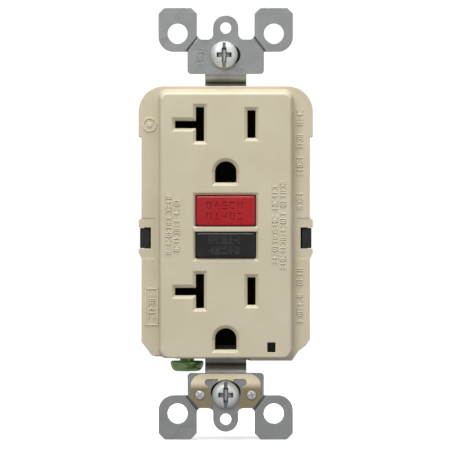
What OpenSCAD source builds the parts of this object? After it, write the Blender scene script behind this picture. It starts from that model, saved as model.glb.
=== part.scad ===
// Ground-fault receptacle: duplex 20 A outlet with test and reset buttons on a steel strap.
// Every shape is drawn lying flat (x right, y up, z out of the wall) and place() stands it up,
// so the front faces -Y and +Z is up. The origin is midway between the two wall-plate screws,
// on the wall side of the strap.

/* [Mounting strap] */
// Length of the strap over its ears
strap_len = 106.8; // [106:0.1:108]
// Width of the strap over its ears
strap_w = 33.2; // [32.8:0.1:34]
// Thickness of the strap steel
strap_t = 1.3; // [1.1:0.05:1.3]
// Distance between the two wall-plate screw holes
plate_hole_gap = 96.83; // [96.5:0.01:97]
// Radius of the tapped wall-plate screw holes
plate_hole_r = 1.4; // [1.3:0.05:1.6]
// Distance between the two mounting screws
mount_screw_gap = 83.34; // [83:0.01:83.6]
// Radius of the plaster-ear holes
ear_hole_r = 2.5; // [2:0.1:2.8]

/* [Front cover] */
// Width of the raised face
face_w = 33.3; // [33:0.1:33.6]
// Height of the raised face
face_h = 66.5; // [66.2:0.1:66.8]
// Distance of the face from the wall side of the strap
face_z = 7; // [6.6:0.1:7.4]
// Width of the flange beside the buttons
flange_w = 43; // [42.8:0.1:43.4]

/* [Blade openings] */
// Distance between the hot and neutral blade centres
blade_gap = 12.7; // [12.6:0.05:12.8]
// Height of the upper pair of blades above the centre
upper_y = 24.6; // [24.4:0.1:24.8]
// Distance between the upper and lower pairs
outlet_gap = 41.2; // [41:0.1:41.4]
// Distance of the ground pin below its blades
ground_drop = 11.9; // [11.8:0.05:12]
// Width of a blade slot
slot_w = 2; // [1.8:0.1:2.1]

/* [Buttons] */
// Width of both buttons
button_w = 14.5; // [14:0.1:14.6]
// Height of the reset button
reset_h = 7.3; // [7:0.1:7.4]
// Height of the test button
test_h = 6.1; // [5.8:0.1:6.2]

/* [Rear body] */
// Depth of the body behind the strap
body_depth = 27; // [27:0.5:30]
// Width of the rear body
body_w = 40.6; // [40.4:0.1:41]
// Height of the rear body
body_h = 66; // [65.8:0.1:66.4]

/* [Terminal screws] */
// Radius of the threaded shank
term_r = 2; // [1.9:0.05:2]
// Radius of the head
term_head_r = 3.8; // [3.4:0.1:3.9]

/* [Hidden] */
$fn = 48;
EPS = 0.01;
FAR = 60;

// Levels through the depth
flange_z = 2.8;
parting_z = -5;
inner_strap_z = -3.8;
bus_t = 0.8;
sep_bot = -8;
well_floor = -13.8;
pin_well_floor = -14.3;
board_top = -20.8;
board_t = 1.6;
back_z = -body_depth;
back_wall = 1.6;
cavity_floor = back_z + back_wall;

// Blades, pins and buttons in the plane
blade_x = blade_gap / 2;
lower_y = upper_y - outlet_gap;
outlets = [upper_y, lower_y];
reset_y = 3.1;
test_y = -5.35;
test_stem_y = -6.4;
lamp = [11.25, -30.55];
lamp_size = [1.9, 2.3];

// Strap ends
ear_in = 7.15;
ear_y = 42.5;
hole_y = plate_hole_gap / 2;
screw_y = mount_screw_gap / 2;
ear_hole = [11.9, 47];
neck_w = 10.2;
joggle_y = 37;
top_screw_x = -0.4;
bottom_screw_y = -42.4;

// Ground terminal
ground_x = -9.6;
ground_z = -6;
ground_tab_y = [-32.6, -31.3];

// Grounding clip and ground contacts
boss_at = [6.4, -42.4];
boss_r = 1.2;
clip_t = 0.45;
rivet_r = 0.9;
rivet_dx = 5.4;
rivet_play = 0.1;

// Side terminals
term_y = 19;
term_z = -16.2;
recess_y = [12, 26];
recess_z = [-22, -8.3];
post_y = 27.2;
post_x = 13.4;
plate_x = [13.6, 14.6];
clamp_x = [16.2, 17.4];
head_x = [17.6, 19.9];
wire_x = 15.7;
wire_dy = 4.6;
running = 0.08;

// Housing screws
house_at = [17, 28.9];
house_r = 1.45;

// Trip mechanism
pin_r = 1.2;
carrier_z = [-18.4, -13.4];
arm_z = [-15.4, -14.8];
arm_x = [10.2, 12.8];
arm_root_y = -15.6;
latch_z = [-16.4, -15.6];
coil_z = -17.6;
coil_y = [9, 25];
plunger_r = 1.35;

// Current transformers
sensor_y = -19;
sensor_top = -15.2;
core_z = [-16.75, -19.25];

// Mounting screws
mount_r = 1.75;
mount_neck_r = 1.4;
mount_head_r = 3.35;
mount_len = 25;
mount_neck_len = 2.6;
seat_z = strap_t + 0.05;

// ---- shared shapes ----

module place() {
    rotate([90, 0, 0]) children();
}

module block(lo, hi) {
    translate(lo) cube(hi - lo);
}

module both_sides() {
    children();
    mirror([1, 0, 0]) children();
}

module both_ends() {
    children();
    mirror([0, 1, 0]) children();
}

module slab(z0, z1) {
    translate([0, 0, z0]) linear_extrude(z1 - z0) children();
}

module round_rect(w, h, r) {
    square([w - 2 * r, h], center = true);
    square([w, h - 2 * r], center = true);
    for (sx = [-1, 1], sy = [-1, 1])
        translate([sx * (w / 2 - r), sy * (h / 2 - r)]) circle(r);
}

// A 45 degree mouth round a w by h opening, its wide end on z = 0
module mouth(w, h, c) {
    intersection() {
        rotate([90, 0, 0]) linear_extrude(h + 2 * c, center = true) mouth_side(w, c);
        rotate([90, 0, 90]) linear_extrude(w + 2 * c, center = true) mouth_side(h, c);
    }
}

module mouth_side(w, c) {
    polygon([[-w / 2, -c], [w / 2, -c], [w / 2 + c, 0], [w / 2 + c, 1],
        [-w / 2 - c, 1], [-w / 2 - c, 0]]);
}

// A coil spring on the z axis, its wire swept along a helix
module coil_spring(r, wire_r, length, turns) {
    sides = 6;
    rings = turns * 14;
    rise = length - 2 * wire_r;
    points = [for (i = [0 : rings]) for (k = [0 : sides - 1])
        let (turn = 360 * turns * i / rings, a = 360 * k / sides, d = r + wire_r * cos(a))
        [d * cos(turn), d * sin(turn), wire_r + rise * i / rings + wire_r * sin(a)]];
    walls = [for (i = [0 : rings - 1]) for (k = [0 : sides - 1])
        let (n = (k + 1) % sides, a = i * sides, b = a + sides)
        [a + k, a + n, b + n, b + k]];
    start = [for (k = [sides - 1 : -1 : 0]) k];
    end = [for (k = [0 : sides - 1]) rings * sides + k];
    polyhedron(points, concat([start, end], walls), convexity = 10);
}

// ---- mounting strap ----

module ear_outline() {
    corner = 1.5;
    body_r = 3.7;
    out_x = strap_w / 2;
    end_y = strap_len / 2;
    difference() {
        union() {
            polygon([[ear_in, ear_y], [out_x - body_r, ear_y], [out_x - body_r, ear_y + body_r],
                [out_x, ear_y + body_r], [out_x, end_y - corner], [out_x - corner, end_y],
                [ear_in + corner, end_y], [ear_in, end_y - corner]]);
            translate([out_x - body_r, ear_y + body_r]) circle(body_r);
        }
        translate(ear_hole) circle(ear_hole_r);
    }
}

module end_outline() {
    plate_w = 18.86;
    plate_y = [37, 45.64];
    plate_r = 0.9;
    tab_r = 3.1;
    gap_r = 1.2;
    slot_half = 3.6;
    slot_r = 2.4;
    difference() {
        union() {
            translate([0, (plate_y[0] + plate_y[1]) / 2])
                round_rect(plate_w, plate_y[1] - plate_y[0], plate_r);
            translate([-ear_in, ear_y]) square([2 * ear_in, hole_y - ear_y]);
            translate([0, hole_y]) circle(tab_r);
            both_sides() ear_outline();
        }
        both_sides() translate([(tab_r + ear_in) / 2, plate_y[1] + 5])
            round_rect(ear_in - tab_r, 10, gap_r);
        translate([0, hole_y]) circle(plate_hole_r);
        translate([0, screw_y]) {
            square([2 * (slot_half - slot_r), 2 * slot_r], center = true);
            for (s = [-1, 1]) translate([s * (slot_half - slot_r), 0]) circle(slot_r);
        }
    }
}

// Side view of the step from the exposed end down to the part under the cover
module joggle_profile() {
    foot_y = 30.2;
    in_r = 0.7;
    out_r = in_r + strap_t;
    low_y = joggle_y - out_r - in_r;
    low_z = inner_strap_z + out_r;
    intersection() {
        difference() {
            translate([joggle_y, -in_r]) circle(out_r);
            translate([joggle_y, -in_r]) circle(in_r);
        }
        translate([joggle_y - out_r, -in_r]) square(out_r);
    }
    intersection() {
        difference() {
            translate([low_y, low_z]) circle(out_r);
            translate([low_y, low_z]) circle(in_r);
        }
        translate([low_y, low_z - out_r]) square(out_r);
    }
    translate([joggle_y - out_r, low_z]) square([strap_t, -in_r - low_z]);
    translate([joggle_y - EPS, 0]) square([1, strap_t]);
    translate([foot_y, inner_strap_z]) square([low_y - foot_y + EPS, strap_t]);
}

module inner_strap_outline() {
    bar = [6.2, 61];
    ring = [16, 8];
    pin_hole_r = 3.3;
    window = [10, 14.4];
    window_y = -0.8;
    rail = 2.4;
    difference() {
        union() {
            square(bar, center = true);
            translate([0, window_y])
                round_rect(window[0] + 2 * rail, window[1] + 2 * rail, 1);
            for (y = outlets) translate([0, y - ground_drop]) round_rect(ring[0], ring[1], 1);
        }
        translate([0, window_y]) square(window, center = true);
        for (y = outlets) translate([0, y - ground_drop]) circle(pin_hole_r);
        rivet_spots() circle(rivet_r + rivet_play);
    }
}

module mounting_strap() {
    score = [0.45, 0.3];
    score_x = 9.8;
    score_y = 45.85;
    tab = [-13.5, -5.7];
    color("#8f918f") place() {
        difference() {
            slab(0, strap_t) both_ends() end_outline();
            both_ends() both_sides() for (z = [0, strap_t])
                translate([(ear_in + score_x) / 2, (score_y + ear_y) / 2, z])
                    rotate([0, 0, atan2(score_y - ear_y, ear_in - score_x)])
                    cube([6, score[0], 2 * score[1]], center = true);
        }
        both_ends() rotate([90, 0, 90])
            linear_extrude(neck_w, center = true) joggle_profile();
        slab(inner_strap_z, inner_strap_z + strap_t) inner_strap_outline();
        difference() {
            union() {
                block([tab[0], ground_tab_y[0], inner_strap_z],
                    [-7, -28, inner_strap_z + strap_t]);
                block([tab[0], ground_tab_y[0], -9.9],
                    [tab[1], ground_tab_y[1], inner_strap_z + EPS]);
            }
            translate([ground_x, 0, ground_z]) rotate([90, 0, 0])
                cylinder(r = 2.08 + running, h = FAR, center = false);
        }
        staked_bosses();
    }
}

module staked_bosses() {
    for (s = [-1, 1])
        translate([s * boss_at[0], boss_at[1], strap_t - EPS])
            cylinder(r = boss_r, h = clip_t + 0.3);
}

// ---- grounding clip ----

module clip_outline() {
    edge_y = [-37.2, -45.7];
    side_x = 8.7;
    shoulder_r = 3;
    bay_r = 3.8;
    lobe = [4.3, -39.35];
    lobe_r = 0.85;
    tongue = [1.9, -38.95];
    difference() {
        polygon([[-side_x, edge_y[0]], [side_x, edge_y[0]], [side_x, -43.3],
            [6.6, edge_y[1]], [-6.6, edge_y[1]], [-side_x, -43.3]]);
        both_sides() translate([side_x - shoulder_r, edge_y[0] - shoulder_r])
            difference() {
                square(shoulder_r + 1);
                circle(shoulder_r);
            }
        translate([0, bottom_screw_y]) circle(bay_r);
        translate([-3.3, -FAR]) square([6.6, FAR + bottom_screw_y]);
        both_sides() {
            translate(lobe) circle(lobe_r);
            polygon([[tongue[0], lobe[1] + lobe_r], [lobe[0], lobe[1] + lobe_r],
                [lobe[0] + lobe_r, lobe[1]], [3.4, -41.4], [tongue[0], -41]]);
        }
        for (s = [-1, 1]) translate([s * boss_at[0], boss_at[1]]) circle(boss_r);
    }
}

module grounding_clip() {
    color("#c8b98d") place()
        slab(strap_t, strap_t + clip_t) clip_outline();
}

// ---- ground contacts under the strap ----

module rivet_spots() {
    for (y = outlets, s = [-1, 1]) translate([s * rivet_dx, y - ground_drop]) children();
}

module rivet_places() {
    translate([0, 0, inner_strap_z]) rivet_spots() children();
}

module ground_contacts() {
    leaf = [2.45, 2.95];
    foot_t = 0.5;
    half = 2.4;
    color("#b98d4a") place()
        for (y = outlets) translate([0, y - ground_drop, 0]) both_sides() {
            block([leaf[0], -half, -12.6], [leaf[1], half, inner_strap_z]);
            difference() {
                block([leaf[0], -half, inner_strap_z - foot_t], [6.9, half, inner_strap_z]);
                translate([rivet_dx, 0, 0])
                    cylinder(r = rivet_r + rivet_play, h = FAR, center = true);
            }
        }
}

module ground_rivets() {
    head_r = 1.5;
    head_t = 0.4;
    color("#9a9c9a") place() rivet_places() {
        translate([0, 0, -0.5]) cylinder(r = rivet_r, h = strap_t + 0.5);
        translate([0, 0, strap_t]) cylinder(r1 = head_r, r2 = head_r - 0.4, h = head_t);
    }
}

// ---- front cover ----

module cover_outline() {
    top_y = 33.95;
    side_x = 20.8;
    wide_x = flange_w / 2;
    top_r = 6.3;
    step_y = 21.4;
    difference() {
        union() {
            intersection() {
                round_rect(2 * wide_x, 2 * top_y, top_r);
                translate([-FAR / 2, step_y]) square([FAR, 20]);
            }
            translate([-side_x, -33.9]) square([2 * side_x, 33.9 + step_y + 1]);
            both_sides() polygon([[20, 1.3], [side_x, 1.3], [wide_x, 0.9], [wide_x, -7.25],
                [side_x, -8.7], [20, -8.7]]);
        }
        polygon([[-25, -29.1], [-20.9, -29.1], [-18.2, -32.7], [-15.3, -32.7], [-12.9, -33.3],
            [5.8, -33.3], [5.8, -40], [-25, -40]]);
        polygon([[25, -28.6], [20.8, -28.6], [19.8, -30.1], [17.9, -31.6], [16.4, -33.9],
            [16.4, -40], [25, -40]]);
    }
}

// The raised face: stacked outlines give its rolled edge, which leans back most at the top
module raised_face() {
    top_y = 33.2;
    bottom_lean = 0.25;
    edge = [[flange_z - 1, 0, 0, 2], [face_z - 1, 0.25, 0.6, 2], [face_z - 0.35, 0.5, 1, 1.9],
        [face_z - 0.08, 0.8, 1.25, 1.7], [face_z, 1.15, 1.5, 1.5]];
    hull()
        for (e = edge) {
            high = top_y - e[2];
            low = top_y - face_h + bottom_lean * e[2];
            translate([0, (high + low) / 2, e[0] - EPS])
                linear_extrude(EPS) round_rect(face_w - 2 * e[1], high - low, e[3], $fn = 24);
        }
}

module cover_cavity() {
    wall_x = 19.3;
    wall_y = 31.6;
    face_in = [29.8, 62.8];
    difference() {
        union() {
            slab(parting_z - 1, 1) square([2 * wall_x, 2 * wall_y], center = true);
            slab(0, face_z - 2) round_rect(face_in[0], face_in[1], 1);
        }
        for (sx = [-1, 1], sy = [-1, 1]) translate([sx * 20, sy * 33, 0])
            cube([11.6, 12.4, FAR], center = true);
        cover_towers();
    }
}

// Blocks behind the face that guide the blades and the buttons
module cover_towers() {
    tower_z = -3.9;
    ground_tower_z = -2.2;
    well_wall = 1.2;
    well_z = 0.4;
    for (y = outlets) {
        block([-14, y - 5.6, tower_z], [-3.8, y + 5.4, face_z]);
        block([3.8, y - 5, tower_z], [8.9, y + 4.8, face_z]);
        block([-4, y - ground_drop - 4, ground_tower_z], [4, y - ground_drop + 4.2, face_z]);
    }
    block([-button_w / 2 - well_wall, test_y - test_h / 2 - well_wall, well_z],
        [button_w / 2 + well_wall, reset_y + reset_h / 2 + well_wall, face_z]);
    translate([lamp[0], lamp[1], face_z - 2.5]) cube([5, 3.6, 5], center = true);
    both_sides() block([17.3, -7.4, parting_z], [20, 0.2, flange_z]);
}

module through(w, h, chamfer) {
    translate([0, 0, -FAR / 2]) linear_extrude(FAR) square([w, h], center = true);
    translate([0, 0, face_z]) mouth(w, h, chamfer);
}

module blade_openings() {
    c = 0.8;
    hot_h = 6.8;
    neutral_h = 8.4;
    tee = [-12.5, -blade_x + slot_w / 2];
    tee_h = 1.85;
    for (y = outlets) {
        translate([blade_x, y - 0.1, 0]) through(slot_w, hot_h, c);
        translate([-blade_x, y - 0.1, 0]) through(slot_w, neutral_h, c);
        translate([(tee[0] + tee[1]) / 2, y - 0.2, 0]) through(tee[1] - tee[0], tee_h, c);
        translate([0, y - ground_drop, 0]) ground_opening(c);
    }
}

module ground_opening(c) {
    r = 2.65;
    flat_y = -2.6;
    translate([0, 0, -FAR / 2]) linear_extrude(FAR) ground_hole(r, flat_y);
    intersection() {
        translate([0, 0, face_z - c]) cylinder(r1 = r, r2 = r + c, h = c + EPS);
        block([-FAR / 2, 0, 0], [FAR / 2, FAR / 2, FAR]);
    }
    intersection() {
        translate([0, 0, face_z]) mouth(2 * r, -2 * flat_y, c);
        block([-FAR / 2, -FAR / 2, 0], [FAR / 2, EPS, FAR]);
    }
}

// Round above, straight-sided and flat below
module ground_hole(r, flat_y) {
    intersection() {
        circle(r);
        translate([-r, 0]) square([2 * r, r]);
    }
    translate([-r, flat_y]) square([2 * r, EPS - flat_y]);
}

module button_openings() {
    gap = 0.2;
    c = 0.65;
    translate([0, reset_y, 0]) through(button_w + 2 * gap, reset_h + 2 * gap, c);
    translate([0, test_y, 0]) through(button_w + 2 * gap, test_h + 2 * gap, c);
}

module front_cover() {
    window = [18.5, -6.2, -1];
    step = 0.15;
    color("#c8bfa8") place()
        difference() {
            union() {
                slab(parting_z, flange_z - step) cover_outline();
                slab(flange_z - step - EPS, flange_z) flange_top();
                raised_face();
            }
            cover_cavity();
            blade_openings();
            button_openings();
            translate([lamp[0], lamp[1], 0])
                cube([lamp_size[0] + 0.1, lamp_size[1] + 0.1, FAR], center = true);
            both_sides() block([window[0], window[1], parting_z - 1], [FAR, window[2], FAR]);
            both_ends() block([-neck_w / 2 - 0.3, 30, parting_z - 1],
                [neck_w / 2 + 0.3, FAR, inner_strap_z + strap_t + 0.2]);
            block([-14.2, -FAR, parting_z - 1], [-4.9, -28, -1.6]);
            block([-8.2, -32.7, parting_z - 1], [8.2, -31, inner_strap_z + strap_t + 0.2]);
            housing_axes() translate([0, 0, parting_z - 1]) cylinder(r = house_r, h = 7);
        }
}

// The flange is a little lower between the side latches and the step above them
module flange_top() {
    low_y = [-8.7, 1.3];
    difference() {
        cover_outline();
        both_sides() translate([face_w / 2 + 0.9, low_y[0]])
            square([FAR, low_y[1] - low_y[0]]);
    }
}

module housing_axes() {
    for (sx = [-1, 1], sy = [-1, 1])
        translate([sx * house_at[0], sy * house_at[1], 0]) children();
}

// ---- rear body ----

module body_outline() {
    difference() {
        round_rect(body_w, body_h, 3);
        polygon([[-25, -28.6], [-20.4, -28.6], [-17.6, -32.3], [-17.6, -40], [-25, -40]]);
        polygon([[25, -28], [20.4, -28], [17.2, -31.8], [15.9, -33.4], [15.9, -40], [25, -40]]);
    }
}

module body_cavity() {
    wall = 1.5;
    difference() {
        slab(cavity_floor, 0)
            square([body_w - 2 * wall, body_h - 2 * wall], center = true);
        both_sides() both_ends() {
            block([post_x, recess_y[0] - 1.2, cavity_floor - 1], [FAR, FAR, recess_z[1]]);
            block([post_x, post_y, cavity_floor - 1], [FAR, FAR, FAR]);
        }
        for (sx = [-1, 1], sy = [-1, 1]) translate([sx * 10.5, sy * 27.5, cavity_floor - 1])
            cylinder(r = 1.6, h = board_top - board_t - cavity_floor + 1);
    }
}

module rear_body() {
    latch = [18.8, 21.2];
    latch_y = [-6.1, -1.1];
    mouth_r = 2.4;
    color("#232222") place() {
        difference() {
            slab(back_z, parting_z) body_outline();
            body_cavity();
            both_sides() both_ends() {
                block([post_x, recess_y[0], recess_z[0]], [FAR, recess_y[1], recess_z[1]]);
                for (s = [-1, 1]) translate([wire_x, term_y + s * wire_dy, back_z - 1]) {
                    cylinder(r = 1.6, h = 8);
                    cylinder(r1 = mouth_r + 0.4, r2 = 1.6, h = 2.2);
                }
            }
            both_ends() block([-neck_w / 2 - 0.3, 30, parting_z - 1],
                [neck_w / 2 + 0.3, FAR, FAR]);
            block([-14.2, -FAR, -10.6], [-4.9, -31, FAR]);
            housing_axes() translate([0, 0, back_z - 1]) {
                cylinder(r = house_r + 0.15, h = FAR);
                cylinder(r = 2.9, h = 2.9);
            }
        }
        both_sides() block([latch[0], latch_y[0], parting_z - EPS],
            [latch[1], latch_y[1], 1.9]);
    }
}

// ---- separator between the contacts and the circuit board ----

module separator() {
    half = [18.6, 31];
    wall = 0.7;
    hot = [[4, -4.7], [8.9, 4.5]];
    neutral = [[-13.2, -5.7], [-4, 5.5]];
    pin = [[-3.9, -3.9], [3.9, 3.7]];
    color("#6b6a66") place()
        difference() {
            union() {
                slab(sep_bot, parting_z) square(2 * half, center = true);
                for (y = outlets) {
                    well(hot, y, 0, well_floor);
                    well(neutral, y, 0, well_floor);
                    well(pin, y - ground_drop, 0, pin_well_floor);
                }
                block([-11, test_stem_y - 1.2, -9.2], [-9.75, test_stem_y + 1.2, sep_bot + EPS]);
            }
            for (y = outlets) {
                well(hot, y, wall, well_floor);
                well(neutral, y, wall, well_floor);
                well(pin, y - ground_drop, wall, pin_well_floor);
            }
            both_sides() both_ends()
                block([post_x - 0.1, post_y - 0.3, -FAR], [FAR, FAR, FAR]);
            both_sides() {
                block([plate_x[0] - 0.1, 0.4, -FAR], [plate_x[1] + 0.1, 5.8, FAR]);
                block([plate_x[0] - 0.1, 14.8, -FAR], [plate_x[1] + 0.1, 23.2, FAR]);
            }
            translate([0, reset_y, 0]) cylinder(r = pin_r + 0.5, h = FAR, center = true);
            translate([0, test_stem_y, 0]) cube([3, 2.6, FAR], center = true);
            translate([lamp[0], lamp[1], 0]) cube([2.6, 3, FAR], center = true);
            block([-12.9, -FAR, -FAR], [-6.3, -26.2, FAR]);
            translate([-FAR / 2, -FAR - half[1], -FAR / 2]) cube([FAR, FAR, FAR]);
        }
}

module well(plan, y, wall, floor_z) {
    block([plan[0][0] + wall, plan[0][1] + y + wall, floor_z + wall],
        [plan[1][0] - wall, plan[1][1] + y - wall, parting_z + wall]);
}

// ---- contact frames ----

module grip(x, y0, y1) {
    bump = 0.35;
    leaf_t = 0.5;
    for (s = [-1, 1]) {
        a = x + s * 1;
        b = x + s * (1 + leaf_t);
        block([min(a, b), y0, -12.9], [max(a, b), y1, parting_z + bus_t]);
        block([min(x + s * (1 - bump), b), y0, -8.6], [max(x + s * (1 - bump), b), y1, -7.8]);
    }
    block([x - 1 - leaf_t, y0, -12.9], [x + 1 + leaf_t, y1, -12.4]);
}

// The bus, its load terminal plate and the arm that holds the fixed contact, on the right
module bus() {
    block([plate_x[0], lower_y - 4, parting_z], [16.6, upper_y + 1.6, parting_z + bus_t]);
    difference() {
        union() {
            block([plate_x[0], 15, -9], [plate_x[1], 23, parting_z + EPS]);
            block([plate_x[0], 12.3, -21.7], [plate_x[1], 25.7, -8.6]);
        }
        translate([0, term_y, term_z]) rotate([0, 90, 0]) cylinder(r = term_r + running, h = FAR);
    }
    block([plate_x[0], 0.6, -13.5], [plate_x[1], 5.6, parting_z + EPS]);
    block([9.8, 0.6, -13.5], [plate_x[1], 5.6, -12.7]);
}

module hot_contact_frame() {
    color("#b08a4c") place() {
        bus();
        for (y = outlets) {
            grip(blade_x, y - 3.4, y + 3.2);
            block([blade_x + 1, y - 3, parting_z], [plate_x[0] + EPS, y + 1.4, parting_z + bus_t]);
        }
    }
}

module neutral_contact_frame() {
    tee_y = -0.2;
    leaf_t = 0.5;
    out_x = -12.4;
    left = -blade_x - 1;
    top = parting_z + bus_t;
    color("#c9c3ae") place() {
        mirror([1, 0, 0]) bus();
        for (y = outlets) translate([0, y, 0]) {
            block([-blade_x + 1, -4, -12.9], [-blade_x + 1 + leaf_t, 4, top]);
            for (s = [-1, 1]) {
                a = tee_y + s * 1;
                b = tee_y + s * (1 + leaf_t);
                end = s * 4;
                block([out_x, min(a, b), -12.9], [left, max(a, b), top]);
                block([left - leaf_t, min(a, end), -12.9], [left, max(a, end), top]);
                block([-plate_x[0] - EPS, min(a, s * 1.6 + tee_y), parting_z],
                    [out_x + 3, max(a, s * 1.6 + tee_y), top]);
            }
            block([out_x, -4, -12.9], [-blade_x + 1 + leaf_t, 4, -12.4]);
        }
    }
}

module fixed_contacts() {
    color("#c9cac8") place() both_sides()
        translate([(arm_x[0] + arm_x[1]) / 2, reset_y, -14.15])
            cylinder(r = 1.5, h = 0.65);
}

// ---- line terminals ----

module line_terminal() {
    difference() {
        block([plate_x[0], -25.7, -21.7], [plate_x[1], -12.3, -8.6]);
        translate([0, -term_y, term_z]) rotate([0, 90, 0]) cylinder(r = term_r + running, h = FAR);
    }
    block([10.4, -21, board_top], [plate_x[0] + EPS, -17, board_top + bus_t]);
}

module line_hot_terminal() {
    color("#b08a4c") place() line_terminal();
}

module line_neutral_terminal() {
    color("#c9c3ae") place() mirror([1, 0, 0]) line_terminal();
}

module line_conductors() {
    leg = [0.6, 1.6];
    run_z = [-14.7, -14];
    color("#b46a3c") place() both_sides() {
        block([leg[0], sensor_y - 0.8, -23.2], [leg[1], sensor_y + 0.8, run_z[1]]);
        block([leg[0], sensor_y - 0.8, run_z[0]], [2.4, -14.6, run_z[1]]);
        block([leg[0], -16.4, run_z[0]], [12.6, -14.6, run_z[1]]);
    }
}

// ---- circuit board and what stands on it ----

module circuit_board() {
    half = [12.9, 30.8];
    color("#2f6b3d") place()
        difference() {
            slab(board_top - board_t, board_top) square(2 * half, center = true);
            block([-5.2, -5.2, -FAR], [5.2, 8.6, 0]);
            translate([0, sensor_y, -FAR / 2]) cylinder(r = 2.5, h = FAR);
        }
}

module ring(r_in, r_out, z0, z1) {
    translate([0, sensor_y, z0]) difference() {
        cylinder(r = r_out, h = z1 - z0);
        translate([0, 0, -1]) cylinder(r = r_in, h = z1 - z0 + 2);
    }
}

module transformer_housing() {
    mid = (board_top + sensor_top) / 2;
    color("#d9d4c4") place() {
        ring(2.5, 3, board_top, sensor_top);
        ring(7, 7.5, board_top, sensor_top);
        ring(2.5, 7.5, board_top, board_top + 0.4);
        ring(2.5, 7.5, mid - 0.2, mid + 0.2);
        ring(2.5, 7.5, sensor_top - 0.4, sensor_top);
    }
}

module core(z) {
    ring(4, 6, z - 0.65, z + 0.65);
}

module winding(z) {
    difference() {
        ring(3.3, 6.7, z - 1, z + 1);
        core(z);
    }
}

module sensing_core() {
    color("#3c3c40") place() core(core_z[0]);
}

module sensing_winding() {
    color("#b5622f") place() winding(core_z[0]);
}

module neutral_core() {
    color("#3c3c40") place() core(core_z[1]);
}

module neutral_winding() {
    color("#b5622f") place() winding(core_z[1]);
}

// ---- solenoid ----

module along_y(y0, r, h) {
    translate([0, y0, coil_z]) rotate([-90, 0, 0]) cylinder(r = r, h = h);
}

module solenoid_frame() {
    half = 4.2;
    sheet = 0.6;
    top = -14.6;
    color("#a7a9aa") place()
        difference() {
            block([-half, coil_y[0], board_top + EPS], [half, coil_y[1], top]);
            block([-half + sheet, coil_y[0] + sheet, -FAR], [half - sheet, coil_y[1] - sheet, 0]);
            along_y(coil_y[0] - 1, plunger_r + 0.1, 3);
        }
}

module solenoid_bobbin() {
    flange_r = 2.95;
    tube_r = 1.8;
    y0 = coil_y[0] + 0.6;
    y1 = coil_y[1] - 0.6;
    color("#ece8dc") place()
        difference() {
            union() {
                along_y(y0, tube_r, y1 - y0);
                along_y(y0, flange_r, 0.7);
                along_y(y1 - 0.7, flange_r, 0.7);
            }
            along_y(y0 - 1, plunger_r + 0.07, y1 - y0 + 2);
        }
}

module solenoid_coil() {
    y0 = coil_y[0] + 1.3;
    y1 = coil_y[1] - 1.3;
    color("#b5622f") place()
        difference() {
            along_y(y0, 2.9, y1 - y0);
            along_y(y0 - 1, 1.8, y1 - y0 + 2);
        }
}

module plunger() {
    tip_y = 7.4;
    color("#a9abad") place() {
        along_y(tip_y + 0.8, plunger_r, 9.2);
        along_y(tip_y, 0.9, 0.9);
    }
}

module plunger_spring() {
    color("#b8babb") place() translate([0, 17.8, coil_z]) rotate([-90, 0, 0])
        coil_spring(0.95, 0.18, 6.4, 6);
}

// ---- small electronics ----

module varistor() {
    color("#2f5f9e") place() translate([-8.6, -27.4, board_top + 4]) rotate([90, 0, 0]) {
        cylinder(r = 3.2, h = 2.4);
        for (s = [-1, 1]) translate([s * 2 - 0.3, -4, 0.9]) cube([0.6, 2, 0.6]);
    }
}

module film_capacitor() {
    color("#a8582c") place() block([5.4, -28.8, board_top], [9.6, -25.4, -14.8]);
}

module ceramic_capacitors() {
    color("#c58a2f") place() for (at = [[-8.6, 29], [9.4, 15.5], [-9.4, 6.4]])
        translate([at[0], at[1], board_top]) {
            translate([0, 0.6, 2.6]) rotate([90, 0, 0]) cylinder(r = 1.8, h = 1.2);
            translate([-0.3, -0.2, 0]) cube([0.6, 0.4, 1.4]);
        }
}

module control_chip() {
    color("#2a2a2c") place() {
        block([-10.6, 9.6, board_top + 0.2], [-6.6, 14.6, board_top + 1.7]);
        for (k = [0 : 3], s = [-1, 1]) translate([-8.6 + s * 2.4, 10.3 + k * 1.2, board_top])
            cube([1, 0.5, 0.9], center = false);
    }
}

module scr() {
    color("#262628") place() translate([8.4, 9.6, board_top]) {
        difference() {
            translate([0, 0, 1.6]) cylinder(r = 2.2, h = 4);
            block([-3, -3, 0], [3, -1.2, 7]);
        }
        for (s = [-1, 0, 1]) translate([s * 1.2 - 0.2, -0.2, 0]) cube([0.4, 0.4, 1.7]);
    }
}

module lying_part(at, r, length) {
    translate([at[0], at[1], board_top + r + 0.1]) rotate([-90, 0, 0]) cylinder(r = r, h = length);
    for (y = [at[1] - 0.8, at[1] + length + 0.4])
        translate([at[0] - 0.2, y, board_top]) cube([0.4, 0.4, r + 0.3]);
    for (y = [at[1] - 0.8, at[1] + length - EPS])
        translate([at[0] - 0.2, y, board_top + r - 0.1]) cube([0.4, 0.8 + EPS, 0.4]);
}

module resistors() {
    color("#c9b48a") place()
        for (at = [[6.6, 21], [9, 21], [11.4, 21], [7.4, -10], [10, -10]]) lying_part(at, 0.9, 5);
}

module diodes() {
    color("#37373a") place()
        for (at = [[-6.6, 21], [-9, 21], [-11.4, 21], [-10, -10]]) lying_part(at, 0.9, 3.4);
}

module status_led() {
    color("#c9e0c4") place() translate([lamp[0], lamp[1] + 1.3, board_top]) {
        cylinder(r = 1.5, h = 1.4);
        translate([0, 0, 1.4]) sphere(1.1);
    }
}

module light_pipe() {
    half = lamp_size / 2;
    color("#3a3a34") place() translate([lamp[0], lamp[1], 0]) {
        block([-half[0], -half[1], parting_z + 0.1], [half[0], half[1], face_z - 0.3]);
        block([-half[0], -half[1] + 0.4, -17.6], [half[0], half[1], parting_z + 0.2]);
    }
}

module test_post() {
    color("#c9c3ae") place() translate([2.4, test_stem_y, board_top])
        cylinder(r = 0.5, h = 9.1);
}

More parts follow.
